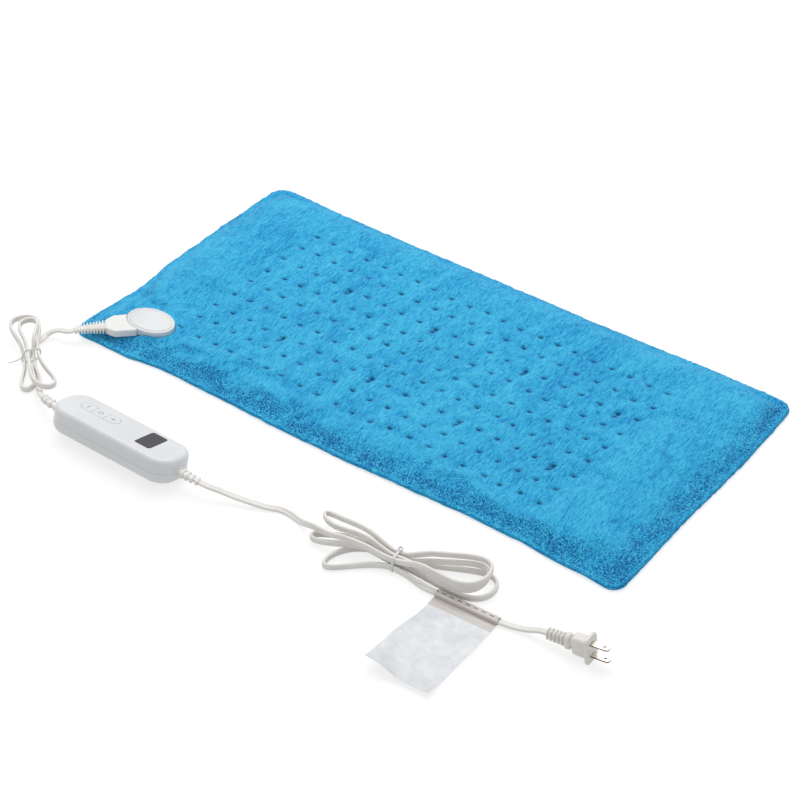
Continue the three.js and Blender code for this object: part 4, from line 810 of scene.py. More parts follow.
def rounded_place(x, y):
    """Draws a square grid's corners in to arcs: beyond the corner centres, a point moves along its ray
    until its distance is the larger of its two offsets. Then each side is shifted, which fades towards
    the middle."""
    corner_x, corner_y = HALF_LENGTH - PAD_CORNER, HALF_WIDTH - PAD_CORNER
    dx, dy = np.abs(x) - corner_x, np.abs(y) - corner_y
    beyond = (dx > 0) & (dy > 0)
    draw = np.where(beyond, np.maximum(dx, dy) / np.maximum(np.hypot(dx, dy), 1e-9), 1.0)
    round_x = np.where(beyond, np.sign(x) * (corner_x + dx * draw), x)
    round_y = np.where(beyond, np.sign(y) * (corner_y + dy * draw), y)
    front, back = (ease(1 - (HALF_WIDTH + way * round_y) / 120) for way in (1, -1))
    left, right = (ease(1 - (HALF_LENGTH + way * round_x) / 150) for way in (1, -1))
    new_x = round_x - left * side_shift("left", round_y) + right * side_shift("right", round_y)
    new_y = round_y - front * side_shift("front", round_x) + back * side_shift("back", round_x)
    return new_x, new_y


def square_grid(rows, columns):
    """A square grid over the upper cover, up to where its border starts to roll over."""
    x, y = HALF_LENGTH - ROLL, HALF_WIDTH - ROLL
    return np.meshgrid(np.linspace(-x, x, columns), np.linspace(-y, y, rows))


def slope_share(x, y):
    """How far up the border's slope a point of the square grid lies, from 0 at the rim to 1 on the crown:
    a smooth step from each side."""
    front, back = ease((y + HALF_WIDTH) / 36), ease((HALF_WIDTH - y) / 28)
    left, right = ease((x + HALF_LENGTH) / 28), ease((HALF_LENGTH - x) / 24)
    return front * back * left * right


def tuft_places():
    """The tufts' centres and which are deep: 21 columns in 9 rows that lean outwards towards the front,
    and which the sewing has drawn a little askew."""
    row, column = np.meshgrid(np.arange(9), np.arange(21), indexing="ij")
    y = 94.0 - 25.0 * row
    left, right = -206 - (94 - y) * 0.097, 202 - (94 - y) * 0.05
    x = left + (right - left) * column / 20
    deep = np.isin(column, (4, 9, 14, 19)) & np.isin(row, (2, 6))
    u, v = x / 100, y / 100
    askew_x, askew_y = 0.42 + 0.52 * u + 0.49 * v + 0.6 * u * v, -2.3 - 1.32 * u - 2.85 * v + 0.47 * u * v
    wander = np.random.default_rng(5).normal(0, 0.8, (2, 9, 21))
    return np.stack([x + askew_x + wander[0], y + askew_y + wander[1]], -1).reshape(-1, 2), deep.ravel()


TUFTS, DEEP = tuft_places()
print(len(TUFTS), "tufts,", int(DEEP.sum()), "of them deep")

# %% [markdown]
# The seat of the socket is pressed flat, and the corner beyond it lies low under the connector.
# The rest of the relief comes from soft folds that the photograph shows along the front border.

# %% Folds of the cover
FOLDS = [
    ([(-226, -133), (-204, -119), (-168, -113), (-125, -103), (-93, -101)], 2.7, 7),
    ([(-204, -146), (-170, -131), (-131, -128), (-90, -127), (-40, -122)], 2.0, 7),
    ([(12, -103), (43, -101), (63, -107), (93, -126), (122, -118)], 2.0, 6),
    ([(128, -124), (180, -134), (234, -134), (268, -118)], 2.5, 9),
    ([(196, -146), (232, -147)], -1.5, 8),
    ([(-240, -146), (-238, -132)], -2.0, 3.5),
    ([(-300, -80), (-284, -84), (-262, -92)], -2.4, 9),
    ([(-296, 60), (-268, 20), (-238, -20)], 1.2, 16),
    ([(-190, 128), (-120, 124), (-60, 132)], 1.1, 12),
    ([(228, 96), (252, 30), (240, -40)], 1.1, 18),
]


def folds_at(x, y):
    """The folds' height: each is a bell curve across a bent line, faded at its ends."""
    total = np.zeros_like(x)
    for line, height, width in FOLDS:
        line = np.array(line, float)
        best = np.full(x.shape, np.inf)
        for a, b in zip(line[:-1], line[1:]):
            span = b - a
            t = np.clip(((x - a[0]) * span[0] + (y - a[1]) * span[1]) / (span @ span), 0, 1)
            best = np.minimum(best, np.hypot(x - a[0] - t * span[0], y - a[1] - t * span[1]))
        total += height * np.exp(-(best / width) ** 2)
    return total


LID_HALF_LENGTH, LID_HALF_WIDTH = 25.2, 17.6


def beside_seat(x, y):
    """How far a point lies outside the socket's oval, and how far outside the connector's way."""
    points = np.stack([x, y, 0 * x], -1)
    oval, way = ((points - origin) @ matrix for matrix, origin in (SOCKET, CONNECTOR))
    beside_oval = (np.hypot(oval[..., 0] / LID_HALF_LENGTH, oval[..., 1] / LID_HALF_WIDTH) - 1) * 20
    return beside_oval, np.where(way[..., 0] > 0, np.abs(way[..., 1]) - 13, 99)


def pressed(x, y, height):
    """The height with the pile pushed up close round the oval, and the seat and the way pressed flat."""
    oval, way = beside_seat(x, y)
    near = np.exp(-(np.maximum(oval, 0) / 6) ** 2) * ease(way / 5)
    pushed = height + (PUSHED_HEIGHT - height) * near
    share = 1 - ease((np.minimum(oval, way) + 0.6) / 1.4)
    return pushed + (np.minimum(pushed, SEAT_HEIGHT) - pushed) * share


def cover_height(x, y, share):
    """The upper cover before its tufts swell: rim and crown joined by the slope, and a lower front left
    corner."""
    crown = CROWN_HEIGHT + 0.25 * np.sin(x / 31 + 0.8 * np.sin(y / 40)) + 0.2 * np.sin(y / 23 + x / 90)
    height = RIM_HEIGHT + (crown - RIM_HEIGHT) * share + folds_at(x, y) * ease(share * 1.6)
    corner = ease((-x - 205) / 18) * ease((-y - 84) / 18)
    return height + (np.minimum(height, 10.6) - height) * corner


# %% Cloth simulation of the upper cover
CLOTH = {
    "quality": 6, "mass": 0.2, "tension_stiffness": 18, "compression_stiffness": 18, "shear_stiffness": 6,
    "bending_stiffness": 0.6, "use_pressure": True, "uniform_pressure_force": 4, "shrink_min": -0.02,
    "vertex_group_mass": "held",
}
FRAMES = 20
MOST_SWELLING = 5


def simulate_cover(rows=62, columns=123):
    """Grid of the upper cover's points after some frames under pressure, each moved no more than a
    limit."""
    square = square_grid(rows, columns)
    x, y = rounded_place(*square)
    top = np.stack([x, y, cover_height(x, y, slope_share(*square))], -1)
    nearest = [np.hypot(x - tx, y - ty).argmin() for tx, ty in TUFTS]
    top.reshape(-1, 3)[nearest, 2] -= np.where(DEEP, 2.4, 1.3)
    sheet = piece("cover_trial", double_sheet(top, np.stack([x, y, np.ones_like(x)], -1)), fleece_top, "pad")
    sheet.parent = None
    seated = np.flatnonzero(np.minimum(*beside_seat(x, y)) < 5)
    pinned = [*nearest, *border(rows, columns), *seated, *range(x.size, 2 * x.size)]
    sheet.vertex_groups.new(name="held").add([int(k) for k in pinned], 1.0, "REPLACE")
    cloth = sheet.modifiers.new("cloth", "CLOTH")
    for setting, value in CLOTH.items():
        setattr(cloth.settings, setting, value)
    cloth.settings.effector_weights.gravity = 0
    cloth.collision_settings.use_collision = False
    for moment in range(1, FRAMES + 1):
        bpy.context.scene.frame_set(moment)
    settled = sheet.evaluated_get(bpy.context.evaluated_depsgraph_get()).to_mesh()
    moved = np.zeros(len(settled.vertices) * 3, np.float32)
    settled.vertices.foreach_get("co", moved)
    step = moved[:top.size].reshape(top.shape) / MM - top
    bpy.data.objects.remove(sheet)
    bpy.context.scene.frame_set(1)
    size = np.linalg.norm(step, axis=-1, keepdims=True)
    most, mean = (round(float(value), 2) for value in (size.max(), size.mean()))
    print("cover swells by", most, "mm at most,", mean, "on average")
    return top + step * np.minimum(1, MOST_SWELLING / np.maximum(size, 1e-9))


# %% [markdown]
# The simulated sheet is coarse, one point every 5 mm. Finer points between them come from a cubic
# B-spline, which keeps the swelling and rounds it, and then take the pits, the pile and the rim.

# %% Finer points
def spline_rows(count, finer):
    """A matrix that takes a row of values to one several times as fine: the weights of a uniform cubic
    B-spline, with the row's first and last values held."""
    at = np.linspace(0, count - 1, (count - 1) * finer + 1)
    low = np.minimum(at.astype(int), count - 2)
    t = at - low
    weights = [(1 - t) ** 3 / 6, (3 * t**3 - 6 * t**2 + 4) / 6, (-3 * t**3 + 3 * t**2 + 3 * t + 1) / 6,
               t**3 / 6]
    matrix = np.zeros((len(at), count))
    for k, weight in enumerate(weights):
        np.add.at(matrix, (np.arange(len(at)), np.clip(low + k - 1, 0, count - 1)), weight)
    matrix[0], matrix[-1] = 0, 0
    matrix[0, 0] = matrix[-1, -1] = 1
    return matrix


def finer_grid(coarse, finer):
    """The B-spline surface of a grid of points, taken along its rows and then its columns."""
    rows, columns = spline_rows(coarse.shape[0], finer), spline_rows(coarse.shape[1], finer)
    return np.einsum("ij,jkc,lk->ilc", rows, coarse, columns)


def pits_at(x, y):
    """Depth of the tufts' pits and how much painted shade each point of them gets: a small dent that slants
    across X at each tuft, and a longer crease just in front of the deep ones."""
    depth, dark = np.zeros_like(x), np.zeros_like(x)
    for (tx, ty), deep in zip(TUFTS, DEEP):
        near = (np.abs(x - tx) < 18) & (np.abs(y - ty) < 24)
        dx, dy = x[near] - tx, y[near] - ty
        u, v = 0.95 * dx + 0.31 * dy, -0.31 * dx + 0.95 * dy
        depth[near] += 1.7 * np.exp(-(u / 2.8) ** 2 - (v / 2.0) ** 2)
        # The dark shares are painted shade in the dent and the crease, where their walls hide the light.
        dark[near] += 1.15 * np.exp(-(u / 2.9) ** 2 - (v / 1.45) ** 2)
        if deep:
            along, across = 0.29 * dx + 0.957 * (dy + 5.5), 0.957 * dx - 0.29 * (dy + 5.5)
            depth[near] += 2.5 * np.exp(-(across / 2.4) ** 2 - (along / 5.0) ** 2)
            dark[near] += 1.1 * np.exp(-(across / 1.7) ** 2 - (along / 4.2) ** 2)
    return depth, np.clip(dark, 0, 1)


def pile(shape, seed, across=1, along=4):
    """Seeded unevenness of the brushed pile, each point averaged with its neighbours a few times along X,
    and more often along Y, the way that it was brushed."""
    values = np.random.default_rng(seed).normal(0, 1, shape)
    for axis in [1] * across + [0] * along:
        values = (np.roll(values, 1, axis) + 2 * values + np.roll(values, -1, axis)) / 4
    return values / values.std()


# %% [markdown]
# Plush is polyester with a pile about 2 mm long. Its tips catch the light and its depth stays
# dark, so one cloth shows many blues. The pile lies in strokes, as it was last brushed, and each
# stroke leans it to or from the light.

# %% Plush cloth
def plush(name, bright, middle, dark):
    """Brushed polyester: strokes 26 mm wide, streaks of nap 1.1 by 9 mm, clumps of 1.2 mm, painted shade in
    the tufts' pits, and painted shade in specks where the cloth bends down on the slopes that face away from
    the lamp."""
    made, tree, shader = material(name, middle, 0.92, Sheen_Weight=0.3, Sheen_Roughness=0.45,
                                  Sheen_Tint=linear("#BFE6FF"), Specular_IOR_Level=0.2)
    place = node(tree, "TexCoord").outputs["Object"]

    def grain(across, along, detail, bend):
        return noise(tree, place, (across, along, across), detail, Roughness=0.6, Distortion=bend)

    def weighed(value, weight, rest):
        return worked_out(tree, "MULTIPLY_ADD", value, weight, rest)

    clump, streak, stroke = grain(1.2, 1.5, 3.0, 0.5), grain(1.1, 9, 2.0, 0.3), grain(26, 60, 3.0, 1.2)
    fields = (node(tree, "Attribute", attribute_name=field) for field in ("slope_shade", "pit_shade"))
    slope_shade, pit_shade = (field.outputs["Fac"] for field in fields)
    nap = weighed(streak, 0.62, weighed(clump, 0.45, weighed(stroke, 0.3, -0.185)))
    # Painted shade: where the slope share is high, the clumps darken in specks.
    speckled_shade = worked_out(tree, "MULTIPLY", worked_out(tree, "SUBTRACT", clump, 0.57), slope_shade)
    tones = [(0.2, "#0C4C88"), (0.38, dark), (0.5, middle), (0.63, bright)]
    # The navy in the pits is painted shade, and the darkest ramp stop is reached mostly where painted slope
    # shade is laid on.
    shade = painted(tree, "#08386E", ramp(tree, weighed(speckled_shade, 1.45, nap), tones), pit_shade)
    colour_and_bump(tree, shader, shade, weighed(streak, 0.7, clump), 0.9, 0.7)
    return made


fleece_top = plush("brushed_plush_blue", "#4FC6EC", "#32B0E2", "#1D88C8")
# The under cover's copy of the cloth is a little darker: painted shade on the border that faces down and away
# from the lamp.
fleece_under_shaded = plush("brushed_plush_blue_under_shaded", "#46BDE6", "#2EA6DB", "#1C80C0")


# %% Upper cover
def add_upper_cover():
    """The fine grid, then rings that roll its border over and down to the seam, and a flat lining
    inside."""
    grid = finer_grid(simulate_cover(), 5)
    rows, columns = grid.shape[:2]
    square = square_grid(rows, columns)
    x, y = grid[..., 0], grid[..., 1]
    pits, dark = pits_at(x, y)
    falls = np.gradient(grid[..., 2], axis=0) / np.gradient(y, axis=0)
    # Painted shade: the front and right border slopes, and fold sides that fall towards the front, face away
    # from the lamp and get a darker share.
    front_gap, right_gap = HALF_WIDTH + square[1], HALF_LENGTH - square[0]
    wide = 22 + 12 * ease((-x - 190) / 50)
    slope_shade = ease((front_gap - 1) / 4) * (1 - ease((front_gap - 6) / wide))
    slope_shade += 0.95 * ease((right_gap - 1) / 4) * (1 - ease((right_gap - 8) / 26))
    slope_shade *= np.clip(0.85 + 0.2 * pile(x.shape, 12, 40, 40), 0, 1.2)
    slope_shade = np.clip(slope_shade + 0.4 * ease((falls - 0.18) / 0.3), 0, 1)
    hair = pile(x.shape, 3) * 0.17 + pile(x.shape, 4, 5, 9) * 0.13 + pile(x.shape, 5, 1, 1) * 0.2 * slope_shade
    gaps = (HALF_LENGTH - np.abs(square[0]), HALF_WIDTH - np.abs(square[1]))
    stitches = sum(0.6 * np.exp(-((gap - 9) / 1.3) ** 2) for gap in gaps) * (slope_share(*square) < 0.9)
    grid[..., 2] = pressed(x, y, grid[..., 2] - pits - stitches) + hair
    rim = border(rows, columns)
    edge = grid.reshape(-1, 3)[rim]
    edge = sum(np.roll(edge, k, 0) for k in range(-4, 5)) / 9
    outline, top = edge[:, :2], edge[:, 2]
    fuzz = pile((9, len(rim)), 6, 1, 1) * 0.26 + pile((9, len(rim)), 13, 8, 8) * 0.26
    rings = [at_height(offset(outline, 3.3 * np.sin(angle) + fuzz[k]), 3.5 + (top - 3.5) * np.cos(angle))
             for k, angle in enumerate(np.linspace(0, np.pi / 2, 9)[1:])]
    rings += [at_height(offset(outline, reach), 3.35) for reach in (2.34, -3.9)]
    ids = np.concatenate([[rim], x.size + np.arange(len(rings) * len(rim)).reshape(len(rings), -1)])
    a, b = ids[:-1], ids[1:]
    bands = np.stack([a, b, np.roll(b, -1, 1), np.roll(a, -1, 1)], -1).reshape(-1, 4)
    faces = [grid_faces(rows, columns)[:, ::-1], bands, ids[-1:, ::-1]]
    made = piece("pad_upper_cover", (np.concatenate([grid.reshape(-1, 3), *rings]), faces), fleece_top, "pad",
                 stands_for=["pad_cover_top"])
    # Both attributes are painted shade for the plush: one in the tufts' pits, one on the slopes, with a
    # quarter share on the rolled rim.
    for name, values, elsewhere in (("pit_shade", dark * 0.95, 0), ("slope_shade", slope_shade, 0.25)):
        every = np.full(len(made.data.vertices), elsewhere, np.float32)
        every[:x.size] = values.ravel()
        made.data.attributes.new(name, "FLOAT", "POINT").data.foreach_set("value", every)


add_upper_cover()

# %% [markdown]
# The under cover is the same cloth, flat where it lies on the table, with a rolled border that
# meets the upper one at the seam.

# %% Under cover
def add_under_cover():
    """Rings from the underside's flat middle out and up round the border to the seam, closed above and
    below."""
    t = np.linspace(0, 2 * np.pi, 720, endpoint=False)
    ring = 1.0 / np.maximum(np.abs(np.cos(t)), np.abs(np.sin(t)))
    edge = np.stack(rounded_place(HALF_LENGTH * ring * np.cos(t), HALF_WIDTH * ring * np.sin(t)), 1)
    wander = pile((12, len(t)), 8, 2, 1) * 0.25
    levels = [(6.0, 3.1), (0.9, 3.1), (0.1, 2.6), (0.0, 2.0), (0.35, 1.2), (1.2, 0.45), (3.0, 0.1),
              (14, 0.05)]
    rings = [at_height(offset(edge, wander[k] - inset), height) for k, (inset, height) in enumerate(levels)]
    made = piece("pad_under_cover", stacked(rings), fleece_under_shaded, "pad", stands_for=["pad_cover_bottom"])


add_under_cover()

# %% [markdown]
# ## Socket and connector
#
# The socket is an oval cover fixed on the pad's front left corner, with a thin step round its top.
# The connector that plugs into it has two shells, a flat top and shoulders that narrow to the
# ribbed relief of the lead. The shells meet at the height of the pins.

# %% Socket cover
def add_socket():
    """The oval cover: a side wall, a rounded rim, a shallow groove and a slightly domed middle, hollow
    below."""
    outline = ellipse(LID_HALF_LENGTH, LID_HALF_WIDTH, 128)
    wall = [(1.2, 11.1), (0.25, 11.1), (0, 11.4), (0, 15.6)]
    rim = [(1 - math.cos(t), 16.4 + math.sin(t)) for t in np.linspace(0, np.pi / 2, 7)]
    groove = [(2.0, 17.4), (2.35, 17.36), (2.5, 17.0), (2.8, 17.0), (2.92, 17.45), (3.1, 17.62)]
    domed = [(3.3 + 5.6 * t, 17.66 + 0.34 * math.sin(t * np.pi / 2)) for t in np.linspace(0, 1, 9)]
    hollow = prism(offset(outline, -1.8), 5, 16.4)
    notch = put(bar((1, 30), (-9.3, 9.3), (5, 15.8), 0.5), (turn("z", CONNECTOR_TURN - SOCKET_TURN), 0))
    piece("socket_lid", layers(outline, [*wall, *rim, *groove, *domed]), abs_gloss, "pad", cut(hollow, notch),
          SOCKET, 32, stands_for=["socket_cover"])


add_socket()


# %% Connector
PIN_HEIGHT, PIN_PITCH = 13.3, 6
UPPER_SPLIT, LOWER_SPLIT = PIN_HEIGHT + 0.06, PIN_HEIGHT - 0.06


def add_connector():
    """Upper and lower shells with their halves of the nose, cut to the socket's oval, and the relief."""
    corners = [(14, -12.95), (35.3, -12.5), (43.3, -6.7), (43.3, 6.7), (35.3, 12.5), (14, 12.95)]
    outline = rounded(corners, [2, 4.5, 1.8, 1.8, 4.5, 2], 9)
    oval = ellipse(LID_HALF_LENGTH + 0.4, LID_HALF_WIDTH + 0.4, 128)
    seat = put(prism(oval, 5, 25), (turn("z", SOCKET_TURN - CONNECTOR_TURN), 0))
    pins = [PIN_PITCH * k for k in (-1, 0, 1)]
    ways = [put(post(y, PIN_HEIGHT, 1.2, 0, 35, 20), ALONG_X) for y in pins]
    sleeves = [put(post(y, PIN_HEIGHT, 1.8, 7.7, 35.9, 20), ALONG_X) for y in pins]
    hollow = bar((27, 38), (-8.5, 8.5), (10.8, 15.8))
    neck_way = bar((36.5, 49), (-4.4, 4.4), (10.9, 15.7))
    dots = [post(x, y, 0.55, 17.15, 18) for x, y in ((32.4, -6.8), (30.1, 2.7))]
    halves = {"upper": (edged(UPPER_SPLIT, 17.3, 0.1, 1.1, flat=0.3), (UPPER_SPLIT, 15.5), dots),
              "lower": (edged(9.3, LOWER_SPLIT, 1.0, 0.1, flat=0.3), (11.1, LOWER_SPLIT), [])}
    for name, (levels, nose, marks) in halves.items():
        changes = [*cut(seat), *grown(bar((6.4, 30), (-9, 9), nose, 0.6)),
                   *cut(*ways, *sleeves, hollow, neck_way, *marks)]
        piece(f"connector_{name}_half", layers(outline, levels), abs_satin, "control_set", changes,
              CONNECTOR, 32, stands_for=[f"connector_{name}_shell"])
    row = [(38.7, 0, 13.3), (43.6, 0, 13.3), (58.5, 0, 13.28), (66, 0, 12.9), (73.7, 0, 12.1)]
    add_relief("connector_relief", "connector_strain_relief", CONNECTOR, row, (8.4, 4.6), (4.5, 2.9), 12, 0.6,
               (0.125, 4.1, 2.1))


add_connector()

# %% [markdown]
# ## Controller
#
# The housing is two halves of glossy ABS that meet near mid height. The upper one has a long
# opening for three keys and a shallow pocket for the display's window. The printed marks on the
# keys are a minus, the power sign and a plus, read from the cord's end.

# %% Housing
HOUSING_LENGTH, HOUSING_WIDTH, HOUSING_CORNER, HOUSING_WALL = 143, 46, 19, 2.2
SCREWS = [(x, y) for x in (-52, 52) for y in (-13.5, 13.5)]
KEYS, KEY_PITCH, KEY_HALF_WIDTH = (-28.5, 3.1), 15, 6.25
PANE, PANE_LENGTH, PANE_WIDTH = (33.4, 2.1), 18, 27


def add_housing():
    """Upper and lower halves, hollow, with posts for the four screws and ways for the two reliefs."""
    outline = rectangle(HOUSING_LENGTH, HOUSING_WIDTH, HOUSING_CORNER, steps=22)
    inside = offset(outline, -HOUSING_WALL)
    gland_way = bar((-90, 90), (-3.7, 3.7), (9.1, 14.9), 0.5)
    shanks = [post(x, y, 1.5, -5, 16.3) for x, y in SCREWS]
    arc = [(4.9 * (1 - math.cos(t)), 21.1 + 4.9 * math.sin(t)) for t in np.linspace(0, np.pi / 2, 12)]
    upper = [(1.2, 12.07), (0.1, 12.07), (0, 12.17), (0, 16), (0, 20.5), *arc, (5.4, 26), (7, 26)]
    hollow = layers(inside, [(0, 5), (0, 20.6), (0.9, 22.7), (3, 23.6)])
    posts = [post(x, y, 4, 12.15, 24) for x, y in SCREWS]
    openings = [prism(rectangle(45.6, 13.1, 6.5, KEYS, 5), 15, 30),
                prism(rectangle(PANE_LENGTH + 0.5, PANE_WIDTH + 0.5, 2.7, PANE, 5), 24.6, 30),
                prism(rectangle(PANE_LENGTH - 3.2, PANE_WIDTH - 3.2, 0.5, PANE, 5), 15, 26)]
    piece("housing_upper_half", layers(outline, upper), abs_gloss, "control_set",
          [*cut(hollow), *grown(*posts), *cut(*shanks, gland_way, *openings)], CONTROLLER, 32,
          stands_for=["controller_top_housing"])
    arc = [(8 * (1 - math.sin(t)), 8 * (1 - math.cos(t))) for t in np.linspace(0, np.pi / 2, 14)]
    lower = [(9.5, 0), *arc, (0, 10), (0, 11.83), (0.1, 11.93), (1.2, 11.93)]
    hollow = layers(inside, [(6, 2.2), (2.2, 3.6), (0.4, 6), (0, 8.2), (0, 20)])
    posts = [post(x, y, 4, 1.8, 11.85) for x, y in SCREWS]
    ribs = [bar((x - 0.8, x + 0.8), (-15, 15), (1.8, 12.7)) for x in (-40, 40)]
    heads = [post(x, y, 3, -5, 3) for x, y in SCREWS]
    piece("housing_lower_half", layers(outline, lower), abs_gloss, "control_set",
          [*cut(hollow), *grown(*posts, *ribs), *cut(*shanks, *heads, gland_way)], CONTROLLER, 32,
          stands_for=["controller_bottom_housing"])
    rows = {
        "lead_gland": [(-68, 0, 12), (-71.8, 0, 12), (-85.5, 0, 12), (-93.5, 2.4, 11.2), (-100.5, 6.6, 9.8)],
        "mains_gland": [(68, 0, 12), (71.8, 0, 12), (83.5, 0, 12), (89.5, 0.7, 11.5), (94.5, 2, 10.8)],
    }
    for name, row in rows.items():
        add_relief(name.replace("_", "_relief_"), name, CONTROLLER, row, (5.1, 3.9), (4.1, 2.8), 5, 0.56,
                   (0.1, 3.4, 2.6))


add_housing()


# %% Keys and their marks
MARK_LOW, MARK_HIGH = 26.2, 26.34


def bar_mark(x, y, length, width):
    """A printed stroke with rounded ends, along X where length is the larger."""
    return prism(rectangle(length, width, min(length, width) * 0.49, (x, y), 5), MARK_LOW, MARK_HIGH)


def power_mark(x, y, radius=2.3, width=0.7, points=40):
    """A ring open towards +X, and a stroke through the opening."""
    t = np.radians(np.linspace(42, 318, points))
    radii = (radius + width / 2, radius - width / 2)
    outer, inner = (np.stack([x + r * np.cos(t), y + r * np.sin(t)], 1) for r in radii)
    rings = [at_height(np.concatenate([outer, inner[::-1]]), height) for height in (MARK_LOW, MARK_HIGH)]
    k = np.arange(points - 1)
    below = np.stack([k, k + 1, 2 * points - 2 - k, 2 * points - 1 - k], 1)
    sides = grid_faces(2, 2 * points, closed=True)[:, ::-1]
    ring = (np.concatenate(rings), [sides, below + 2 * points, below[:, ::-1]])
    return merged(ring, bar_mark(x + 1.9, y, 3.0, width))


def add_keys():
    """Three caps that share one long opening, each with a lip under the housing, a stem, and a printed
    mark."""
    round_end, square_end, y = 6.2, 0.8, KEYS[1]
    corners = {"minus": (square_end, round_end, round_end, square_end), "power": square_end,
               "plus": (round_end, square_end, square_end, round_end)}
    for k, (name, radii) in enumerate(corners.items()):
        x = KEYS[0] + (k - 1) * KEY_PITCH
        low, high = x - KEY_PITCH / 2 + 0.15, x + KEY_PITCH / 2 - 0.15
        far, near = y + KEY_HALF_WIDTH, y - KEY_HALF_WIDTH
        outline = rounded([(high, far), (low, far), (low, near), (high, near)], radii, 10)
        cap = layers(outline, [(0, 22.3), (0, 25.95), (0.1, 26.15), (0.3, 26.26), (0.6, 26.3), (0.75, 26.3)])
        lip = prism(offset(outline, 0.14), 22.35, 23.2)
        stem = post(x, y, 1.5, 20.5, 22.6)
        strokes = {"minus": [bar_mark(x, y, 0.75, 5)], "power": [power_mark(x, y)],
                   "plus": [bar_mark(x, y, 0.75, 5), bar_mark(x, y, 5, 0.75)]}[name]
        piece(f"{name}_cap", merged(cap, lip, stem), abs_gloss, f"{name}_key", place=CONTROLLER, sharp=40,
              stands_for=[f"{name}_button"])
        piece(f"{name}_mark", merged(*strokes), grey_print, f"{name}_key", place=CONTROLLER, sharp=40)


def pane(name, colour, roughness):
    """Smoked acrylic: nearly black inside, glossy, with faint dust."""
    made, tree, shader = material(name, colour, roughness, IOR=1.42)
    dust = noise(tree, node(tree, "TexCoord").outputs["Object"], 1.5, 4.0)
    tree.links.new(ramp(tree, dust, [(0.3, colour), (0.8, "#3E3943")]), shader.inputs["Base Color"])
    return made


grey_print = moulded("grey_key_print", "#8B8F95", "#7F838A", 0.5, 0.6, 0.004, IOR=1.5)
window_smoke = pane("smoked_acrylic", "#2E2A33", 0.14)
add_keys()
window = layers(rectangle(PANE_LENGTH, PANE_WIDTH, 2.5, PANE), edged(24.9, 26.0, 0.1, 0.18, 4, 0.2))
piece("window_pane", window, window_smoke, "control_set", place=CONTROLLER, sharp=40,
      stands_for=["display_window"])

# %% [markdown]
# ## Inner pieces
#
# What lies inside keeps its CAD shape and gets a finish of its own: felt and silicone in the pad,
# and board, switches, fuse and plated pins in the housing and the socket.

# %% Finishes of the inner pieces
felt = moulded("needled_felt", "#DCDCD6", "#CFCFC8", 0.95, 0.9, 0.2)
silicone = moulded("silicone_insulation", "#E6E2DA", "#D9D4CA", 0.5, 1.0, 0.02, IOR=1.43)
board_green = moulded("solder_mask_green", "#2F6B47", "#285D3D", 0.35, 2.2, 0.01, IOR=1.55)
part_black = moulded("component_black", "#26272A", "#1E1F22", 0.45, 0.8, 0.01, IOR=1.55)
part_blue = moulded("capacitor_blue", "#2F5F9E", "#28528A", 0.3, 1.5, 0.005, IOR=1.5)
fuse_glass = moulded("fuse_glass_tube", "#D9E2E2", "#CBD6D6", 0.08, 3.0, 0.002, IOR=1.5)
INNER = {
    felt: ["heater_carrier"], silicone: ["heating_wire"], abs_satin: ["socket_base", "socket_clamp_plate"],
    board_green: ["circuit_board"], part_blue: ["capacitor"], fuse_glass: ["fuse"],
    part_black: ["thermostat_1", "thermostat_2", "minus_switch", "power_switch", "plus_switch",
                 "display_module", "triac"],
    brass: [f"contact_sleeve_{k}" for k in (1, 2, 3)],
    nickel: [f"socket_pin_{k}" for k in (1, 2, 3)] + [f"housing_screw_{k}" for k in (1, 2, 3, 4)],
}
for finish, names in INNER.items():
    for name in names:
        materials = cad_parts[name].data.materials
        materials.clear()
        materials.append(finish)
print(sum(len(names) for names in INNER.values()), "inner pieces finished")

# %% [markdown]
# ## Floor and light
#
# The photograph is a product shot: an even white ground, soft light from above and a little from
# behind, so that the sides that face the camera are grey. The ground shows white to the camera
# through its own material, and never through more light on the object.

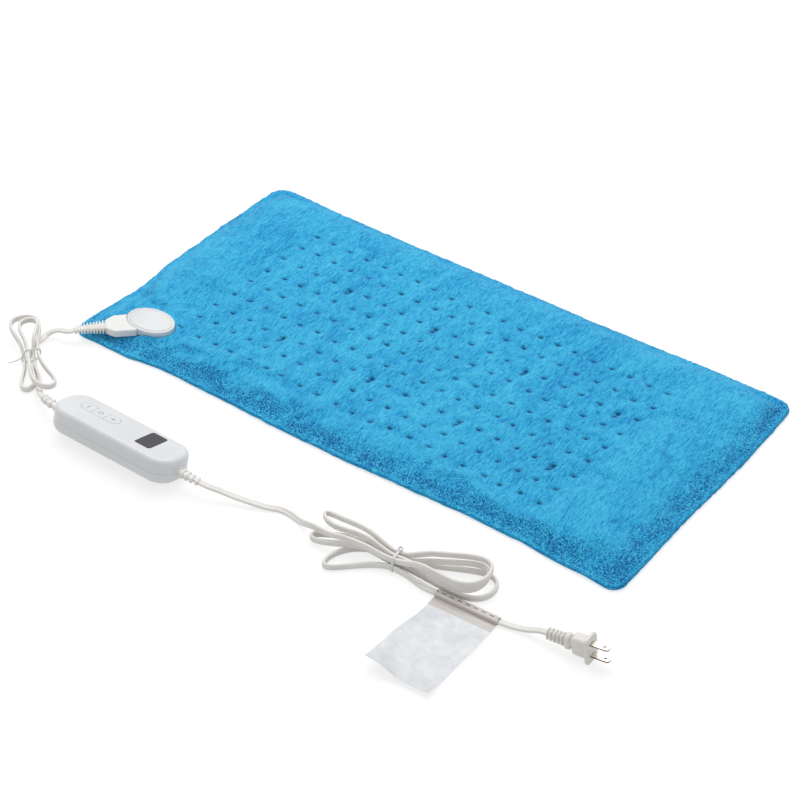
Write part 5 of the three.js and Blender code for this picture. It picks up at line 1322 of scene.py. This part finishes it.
# %% Floor
def add_floor(half=9000, level=-0.2):
    """A wide level sheet just under the object, white to the camera and a plain diffuse sheet to the
    light."""
    made, tree, _ = material("seamless_paper", "#FFFFFF", 0.9)
    ray = node(tree, "LightPath").outputs
    direct = worked_out(tree, "MAXIMUM", ray["Is Camera Ray"], ray["Is Glossy Ray"])
    clear = worked_out(tree, "MAXIMUM", direct, ray["Is Transmission Ray"])
    greys = [(grey, grey, grey, 1) for grey in (0.8, 0.34)]
    matt, pale = (node(tree, "BsdfDiffuse", {"Color": grey}).outputs["BSDF"] for grey in greys)
    glow = node(tree, "Emission", {"Color": (1, 1, 1, 1), "Strength": 0.72}).outputs["Emission"]
    white = node(tree, "AddShader", {}, {0: pale, 1: glow}).outputs["Shader"]
    choice = node(tree, "MixShader", {}, {0: clear, 1: matt, 2: white})
    tree.links.new(choice.outputs["Shader"], tree.nodes["Material Output"].inputs["Surface"])
    corners = [(-half, -half, level), (half, -half, level), (half, half, level), (-half, half, level)]
    floor = shown("floor", mesh_of("floor", (corners, [np.array([[0, 1, 2, 3]])])))
    floor.data.materials.append(made)


add_floor()


# %% Light
def add_lamp(name, place, target, size, power):
    """An oblong area lamp at a place in mm, turned to face its target."""
    data = bpy.data.lights.new(name, "AREA")
    data.shape, data.size, data.size_y, data.energy = "RECTANGLE", *size, power
    lamp = shown(name, data)
    lamp.location = np.array(place) * MM
    aim = Vector((np.array(target) - np.array(place)) * MM)
    lamp.rotation_euler = aim.to_track_quat("-Z", "Y").to_euler()


def add_world(strength, strength_seen):
    """An even white world, brighter where the camera or a reflection sees it than where it lights the
    object."""
    world = bpy.data.worlds.new("studio")
    bpy.context.scene.world = world
    world.use_nodes = True
    tree = world.node_tree
    tree.nodes.clear()
    ray = node(tree, "LightPath").outputs
    soft, plain = (node(tree, "Background", {"Color": (1, 1, 1, 1), "Strength": value}).outputs["Background"]
                   for value in (strength, strength_seen))
    direct = worked_out(tree, "MAXIMUM", ray["Is Camera Ray"], ray["Is Glossy Ray"])
    pick = node(tree, "MixShader", {}, {0: direct, 1: soft, 2: plain})
    node(tree, "OutputWorld", {}, {"Surface": pick.outputs["Shader"]})


add_world(0.56, 1.0)
add_lamp("overhead", (-500, 700, 1900), (0, -60, 0), (2.2, 1.8), 28)
bpy.context.scene.view_settings.view_transform = "Standard"
